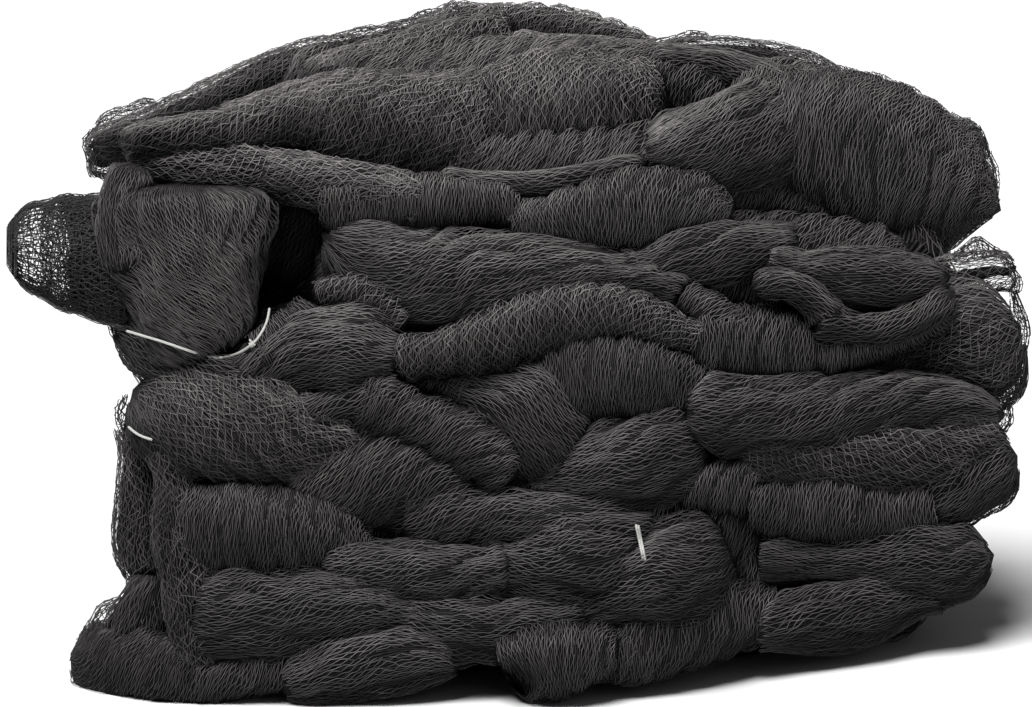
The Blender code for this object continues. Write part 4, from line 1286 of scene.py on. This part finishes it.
class OBJECT_OT_net_strands(bpy.types.Operator):
    """Lay the gathered strands on every fold and turn"""
    bl_idname = "object.net_strands"
    bl_label = "Gathered strands"

    def execute(self, context):
        sizes = context.scene.net_sizes
        finish = strand_material(sizes.colour)
        pitch = sizes.pitch / MM
        front = [net_on(surface, sizes, pitch, GATHERED_OPEN, GATHERED_LIFT) for surface in front_surfaces()]
        names = [fold.name for fold in FOLDS]
        starts = [names.index(name) for name in STRAND_STARTS] + [len(front)]
        for part, start, stop in zip(STRAND_PARTS, starts[:-1], starts[1:]):
            net_piece("strands_" + part, front[start:stop], finish)
        for name, surfaces, coarse in (("strands_back", back_surfaces(), BACK_COARSE),
                                       ("strands_ends", turn_surfaces(), ENDS_COARSE)):
            far = [net_on(surface, sizes, pitch * coarse, FAR_OPEN, GATHERED_LIFT, longer=FAR_BAR)
                   for surface in surfaces]
            net_piece(name, far, finish)
        return {"FINISHED"}


class OBJECT_OT_net_loose(bpy.types.Operator):
    """Lay the loose, open net over the folds where it shows"""
    bl_idname = "object.net_loose"
    bl_label = "Loose net"

    def execute(self, context):
        sizes = context.scene.net_sizes
        pitch = sizes.loose_pitch / MM
        loose = [net_on(surface, sizes, pitch, 1.0, LOOSE_LIFT, facing=LOOSE_FACING, bright=LOOSE_BRIGHT)
                 for surface in front_surfaces() if surface.loose >= LOOSE_LEAST]
        net_piece("loose_net", loose, strand_material(sizes.colour))
        return {"FINISHED"}


class OBJECT_OT_net_edges(bpy.types.Operator):
    """Make the loops of open net that stand out from the heap's edge"""
    bl_idname = "object.net_edges"
    bl_label = "Edge loops"

    def execute(self, context):
        sizes = context.scene.net_sizes
        shells = [net_on(surface, sizes, pitch, 1.0, lift, spread=LOOP_SPREAD, bright=EDGE_BRIGHT,
                         thick=LOOP_THICK)
                  for surface in veil_surfaces() for pitch, lift in LOOP_NETS]
        net_piece("edge_loops", shells, strand_material(sizes.colour))
        return {"FINISHED"}


def flap_rim(sizes):
    """Strands drawn together along the flap's edge: out along its top, round its tip and back."""
    rng = np.random.default_rng(77)
    side = math.pi / 2
    out = np.linspace(0.0, 1.0, RIM_SIDE_POINTS)
    t = np.concatenate([out, np.ones(RIM_TIP_POINTS), out[::-1]])
    round_tip = np.linspace(-side, side, RIM_TIP_POINTS + 2)[1:-1]
    angle = np.concatenate([np.full(RIM_SIDE_POINTS, -side), round_tip, np.full(RIM_SIDE_POINTS, side)])
    shells = []
    for _ in range(FLAP_RIM_STRANDS):
        wide = angle + RIM_SPREAD * rng.standard_normal(angle.shape)
        share = rng.uniform(RIM_SHORTEST, 1.0)
        points = flap_place(t * share, wide, RIM_LIFT * rng.standard_normal(angle.shape))
        points = points + RIM_STRAY * rng.standard_normal(3)
        outward = np.broadcast_to(np.array([0.0, -1.0, 0.3]), points.shape)[None]
        keep = np.ones((1, len(points) - 1), dtype=bool)
        radius = sizes.strand_radius * RIM_THICK
        shells.append(tubes(to_world(points)[None], outward, keep, radius, 3, FLAP_BRIGHT))
    return shells


class OBJECT_OT_net_flap(bpy.types.Operator):
    """Make the see-through flap of net at the heap's left"""
    bl_idname = "object.net_flap"
    bl_label = "Net flap"

    def execute(self, context):
        sizes = context.scene.net_sizes
        length = math.hypot(FLAP_TIP[0] - FLAP_ROOT[0], FLAP_TIP[1] - FLAP_ROOT[1])
        flap = Surface(("flap", 0), flap_place, length, FLAP_HALF * 0.75, 35.0, 1.0, 300, 0.0)

        def core_place(t, angle, lift):
            ragged = FLAP_CORE_SHARE * (1.0 + 0.14 * np.sin(3.0 * angle) + 0.1 * np.sin(7.0 * angle))
            return flap_place(t * ragged, angle, lift)

        def root_place(t, angle, lift):
            return flap_place(t * FLAP_DENSE_SHARE, angle, lift)

        core = flap._replace(place=core_place, length=length * FLAP_CORE_SHARE, drawn_in=2.0)
        net_piece("flap_core", [ring_skin(core, BACK_GRID, FLAP_BRIGHT)], packed_net_material(sizes.colour))
        root = flap._replace(place=root_place, length=length * FLAP_DENSE_SHARE)
        shells = [net_on(flap._replace(flow=flow, seed=FLAP_SEED + flow), sizes, FLAP_PITCH, 1.0, lift,
                         bright=FLAP_BRIGHT, thick=FLAP_THICK) for flow, lift in FLAP_NETS]
        shells += [net_on(root._replace(flow=flow, seed=FLAP_SEED + flow), sizes, FLAP_DENSE_PITCH, 1.0, lift,
                          bright=FLAP_BRIGHT) for flow, lift in FLAP_DENSE_NETS]
        net_piece("flap_net", [*shells, *flap_rim(sizes)], strand_material(sizes.colour))
        return {"FINISHED"}


def seat_route(tie, surface, clear):
    """World points of a twine that lies on the heap under its seen route, pulled taut over hollows.

    Where it is sunk it drops by SUNK_DEPTH sin(pi s), s going from 0 to 1 between the two places.
    """
    seen = np.array(tie.route, dtype=float)
    length = np.concatenate([[0.0], np.cumsum(np.hypot(*np.diff(seen, axis=0).T))])
    count = int(length[-1] / ROUTE_STEP) + 2
    along = np.linspace(0.0, length[-1], count)
    right = np.interp(along, length, seen[:, 0])
    down = np.interp(along, length, seen[:, 1])
    for _ in range(ROUTE_EASE):
        right[1:-1] = (right[:-2] + 2.0 * right[1:-1] + right[2:]) / 4
        down[1:-1] = (down[:-2] + 2.0 * down[1:-1] + down[2:]) / 4
    near = to_world(sight(right, down, np.full(count, -ROUTE_SEEK)))
    far = to_world(sight(right, down, np.full(count, ROUTE_SEEK)))
    rays = unit(far - near)
    hits = [surface.ray_cast(Vector(start), Vector(ray))[3] for start, ray in zip(near, rays)]
    reach = np.array([math.inf if hit is None else hit for hit in hits])
    step = along[1] * MM * ROUTE_SLOPE
    for _ in range(count):
        reach[1:] = np.minimum(reach[1:], reach[:-1] + step)
        reach[:-1] = np.minimum(reach[:-1], reach[1:] + step)
    for _ in range(ROUTE_TAUT):
        reach[1:-1] = np.minimum(reach[1:-1], (reach[:-2] + reach[2:]) / 2)
    if tie.sunk is not None:
        share = np.clip((right - tie.sunk[0]) / (tie.sunk[1] - tie.sunk[0]), 0.0, 1.0)
        reach = reach + SUNK_DEPTH * np.sin(math.pi * share)
    return near + rays * (reach - clear)[:, None], rays


def knot_shells(tie, path, rays, sizes):
    """A small knot: turns round the twine where it is tied, and one short tail."""
    at = to_world(sight(*np.array([*tie.knot, 0.0])))
    off = path - at
    off = off - rays * np.einsum("ij,ij->i", off, rays)[:, None]
    nearest = int(np.argmin(np.linalg.norm(off, axis=1)))
    ahead = unit(path[nearest + 1] - path[nearest - 1])
    side = unit(np.cross(ahead, rays[nearest]))
    out = np.cross(side, ahead)
    q = np.linspace(0.0, 2.0 * math.pi * KNOT_TURNS, 40)
    coil = (path[nearest] + KNOT_RADIUS * (np.cos(q)[:, None] * side + np.sin(q)[:, None] * out)
            + KNOT_REACH * (q / q[-1] - 0.5)[:, None] * ahead)
    tail = coil[-1] + KNOT_TAIL * np.linspace(0.1, 1.0, 6)[:, None] * unit(coil[-1] - coil[-2] + 0.4 * side)
    line = np.concatenate([coil, tail])
    keep = np.ones((1, len(line) - 1), dtype=bool)
    return [tubes(line[None], rays[:1][None], keep, sizes.radius * KNOT_THICK, 8, 1.0)]


def twisted(path, rays, sizes):
    """A twine of plies: each one winds round the path, offset (cos q n + sin q b), q = 2 pi s / lay."""
    length = np.concatenate([[0.0], np.cumsum(np.linalg.norm(np.diff(path, axis=0), axis=1))])
    along = np.arange(0.0, length[-1], sizes.lay / PLY_STEPS)
    centre = np.stack([np.interp(along, length, path[:, i]) for i in range(3)], axis=1)
    ray = unit(np.stack([np.interp(along, length, rays[:, i]) for i in range(3)], axis=1))
    ahead = unit(np.gradient(centre, axis=0))
    side = unit(np.cross(ahead, ray))
    out = np.cross(side, ahead)
    shells = []
    for ply in range(sizes.plies):
        q = 2.0 * math.pi * (along / sizes.lay + ply / sizes.plies)
        line = centre + sizes.radius * PLY_OFF * (np.cos(q)[:, None] * side + np.sin(q)[:, None] * out)
        keep = np.ones((1, len(line) - 1), dtype=bool)
        shells.append(tubes(line[None], ray[None], keep, sizes.radius * PLY_THICK, 6, 1.0))
    return shells


class OBJECT_OT_net_ties(bpy.types.Operator):
    """Twist the three bits of white twine and lay them on the heap"""
    bl_idname = "object.net_ties"
    bl_label = "Twine ties"

    def execute(self, context):
        sizes = context.scene.twine_sizes
        finish = twine_material(sizes.colour)
        for tie in TIES:
            clear = sizes.radius + TWINE_CLEAR
            path, rays = seat_route(tie, skin_tree(), clear)
            shells = twisted(path, rays, sizes)
            if tie.second is not None:
                beside = tie._replace(route=[(right + tie.second, down + 1.0) for right, down in tie.route])
                shells += twisted(*seat_route(beside, skin_tree(), clear), sizes)
            if tie.knot is not None:
                shells += knot_shells(tie, path, rays, sizes)
            make_piece(tie.name + "_twine", join_shells(shells), finish, [tie.name])
        return {"FINISHED"}


class OBJECT_OT_net_stage(bpy.types.Operator):
    """Set the floor, the lights and the camera"""
    bl_idname = "object.net_stage"
    bl_label = "Stage"

    def execute(self, context):
        settings = context.scene.stage_settings
        self.floor(settings)
        self.sun("key_light", settings.key, KEY_SPREAD, KEY_TURN)
        self.sun("fill_light", settings.fill, FILL_SPREAD, FILL_TURN)
        world = bpy.data.worlds.new("studio")
        world.use_nodes = True
        air = world.node_tree.nodes["Background"]
        air.inputs["Color"].default_value = (1.0, 1.0, 1.0, 1.0)
        air.inputs["Strength"].default_value = settings.air
        context.scene.world = world
        self.camera(context)
        context.scene.view_settings.view_transform = "Standard"
        return {"FINISHED"}

    def floor(self, settings):
        """A wide plain floor at the heap's foot."""
        half = settings.floor_half
        mesh = bpy.data.meshes.new("floor")
        mesh.from_pydata([(-half, -half, 0.0), (half, -half, 0.0), (half, half, 0.0), (-half, half, 0.0)],
                         [], [(0, 1, 2, 3)])
        finish, nodes, links, shader = new_material("pale_floor", 0.7)
        place = nodes.new("ShaderNodeTexCoord")
        grain = noise(nodes, 3.0, 2.0)
        ramp = colour_ramp(nodes, 0.0, times(settings.floor_colour, 0.985), 1.0, settings.floor_colour)
        links.new(place.outputs["Object"], grain.inputs["Vector"])
        links.new(grain.outputs["Fac"], ramp.inputs["Fac"])
        links.new(ramp.outputs["Color"], shader.inputs["Base Color"])
        mesh.materials.append(finish)
        floor = bpy.data.objects.new("floor", mesh)
        bpy.context.scene.collection.objects.link(floor)

    def sun(self, name, strength, spread, turn):
        """A broad soft light from one side, turned in degrees."""
        light = bpy.data.lights.new(name, "SUN")
        light.energy = strength
        light.angle = math.radians(spread)
        lamp = bpy.data.objects.new(name, light)
        lamp.rotation_euler = [math.radians(angle) for angle in turn]
        bpy.context.scene.collection.objects.link(lamp)

    def camera(self, context):
        """The camera at the sight's own eye, aimed at the middle of the picture."""
        eye = Vector(to_world(np.array([0.0, -SIGHT_DISTANCE * math.cos(SIGHT_ELEVATION),
                                        SIGHT_DISTANCE * math.sin(SIGHT_ELEVATION)])))
        data = bpy.data.cameras.new("camera")
        data.sensor_width = 36.0
        data.lens = data.sensor_width * SIGHT_DISTANCE / SEEN_WIDTH
        data.clip_end = 200.0
        camera = bpy.data.objects.new("camera", data)
        camera.location = eye
        drop = SIGHT_ELEVATION - math.atan((SEEN_HEIGHT - PICTURE_MIDDLE) / SIGHT_DISTANCE)
        camera.rotation_euler = (math.pi / 2 - drop, 0.0, 0.0)
        context.scene.collection.objects.link(camera)
        context.scene.camera = camera


class VIEW3D_PT_netting(bpy.types.Panel):
    """The steps that make the net"""
    bl_idname = "VIEW3D_PT_netting"
    bl_label = "Pond netting"
    bl_space_type = "VIEW_3D"
    bl_region_type = "UI"
    bl_category = "Netting"

    def draw(self, context):
        for step in STEPS:
            self.layout.operator(step.bl_idname)
        for group in (context.scene.net_sizes, context.scene.twine_sizes, context.scene.stage_settings):
            for name in group.bl_rna.properties.keys()[2:]:
                self.layout.prop(group, name)


GROUPS = (NetSizes, TwineSizes, StageSettings)
STEPS = (OBJECT_OT_net_folds, OBJECT_OT_net_strands, OBJECT_OT_net_loose, OBJECT_OT_net_edges,
         OBJECT_OT_net_flap, OBJECT_OT_net_ties, OBJECT_OT_net_stage)


def register():
    """Registers the classes and puts the settings on the scene."""
    for item in (*GROUPS, *STEPS, VIEW3D_PT_netting):
        bpy.utils.register_class(item)
    bpy.types.Scene.net_sizes = PointerProperty(type=NetSizes)
    bpy.types.Scene.twine_sizes = PointerProperty(type=TwineSizes)
    bpy.types.Scene.stage_settings = PointerProperty(type=StageSettings)


def unregister():
    """Takes the settings and the classes away again."""
    del bpy.types.Scene.net_sizes
    del bpy.types.Scene.twine_sizes
    del bpy.types.Scene.stage_settings
    for item in reversed((*GROUPS, *STEPS, VIEW3D_PT_netting)):
        bpy.utils.unregister_class(item)


def main():
    """Makes every piece in order."""
    register()
    bpy.ops.object.net_folds()
    bpy.ops.object.net_strands()
    bpy.ops.object.net_loose()
    bpy.ops.object.net_edges()
    bpy.ops.object.net_flap()
    bpy.ops.object.net_ties()
    bpy.ops.object.net_stage()


if __name__ == "__main__":
    main()
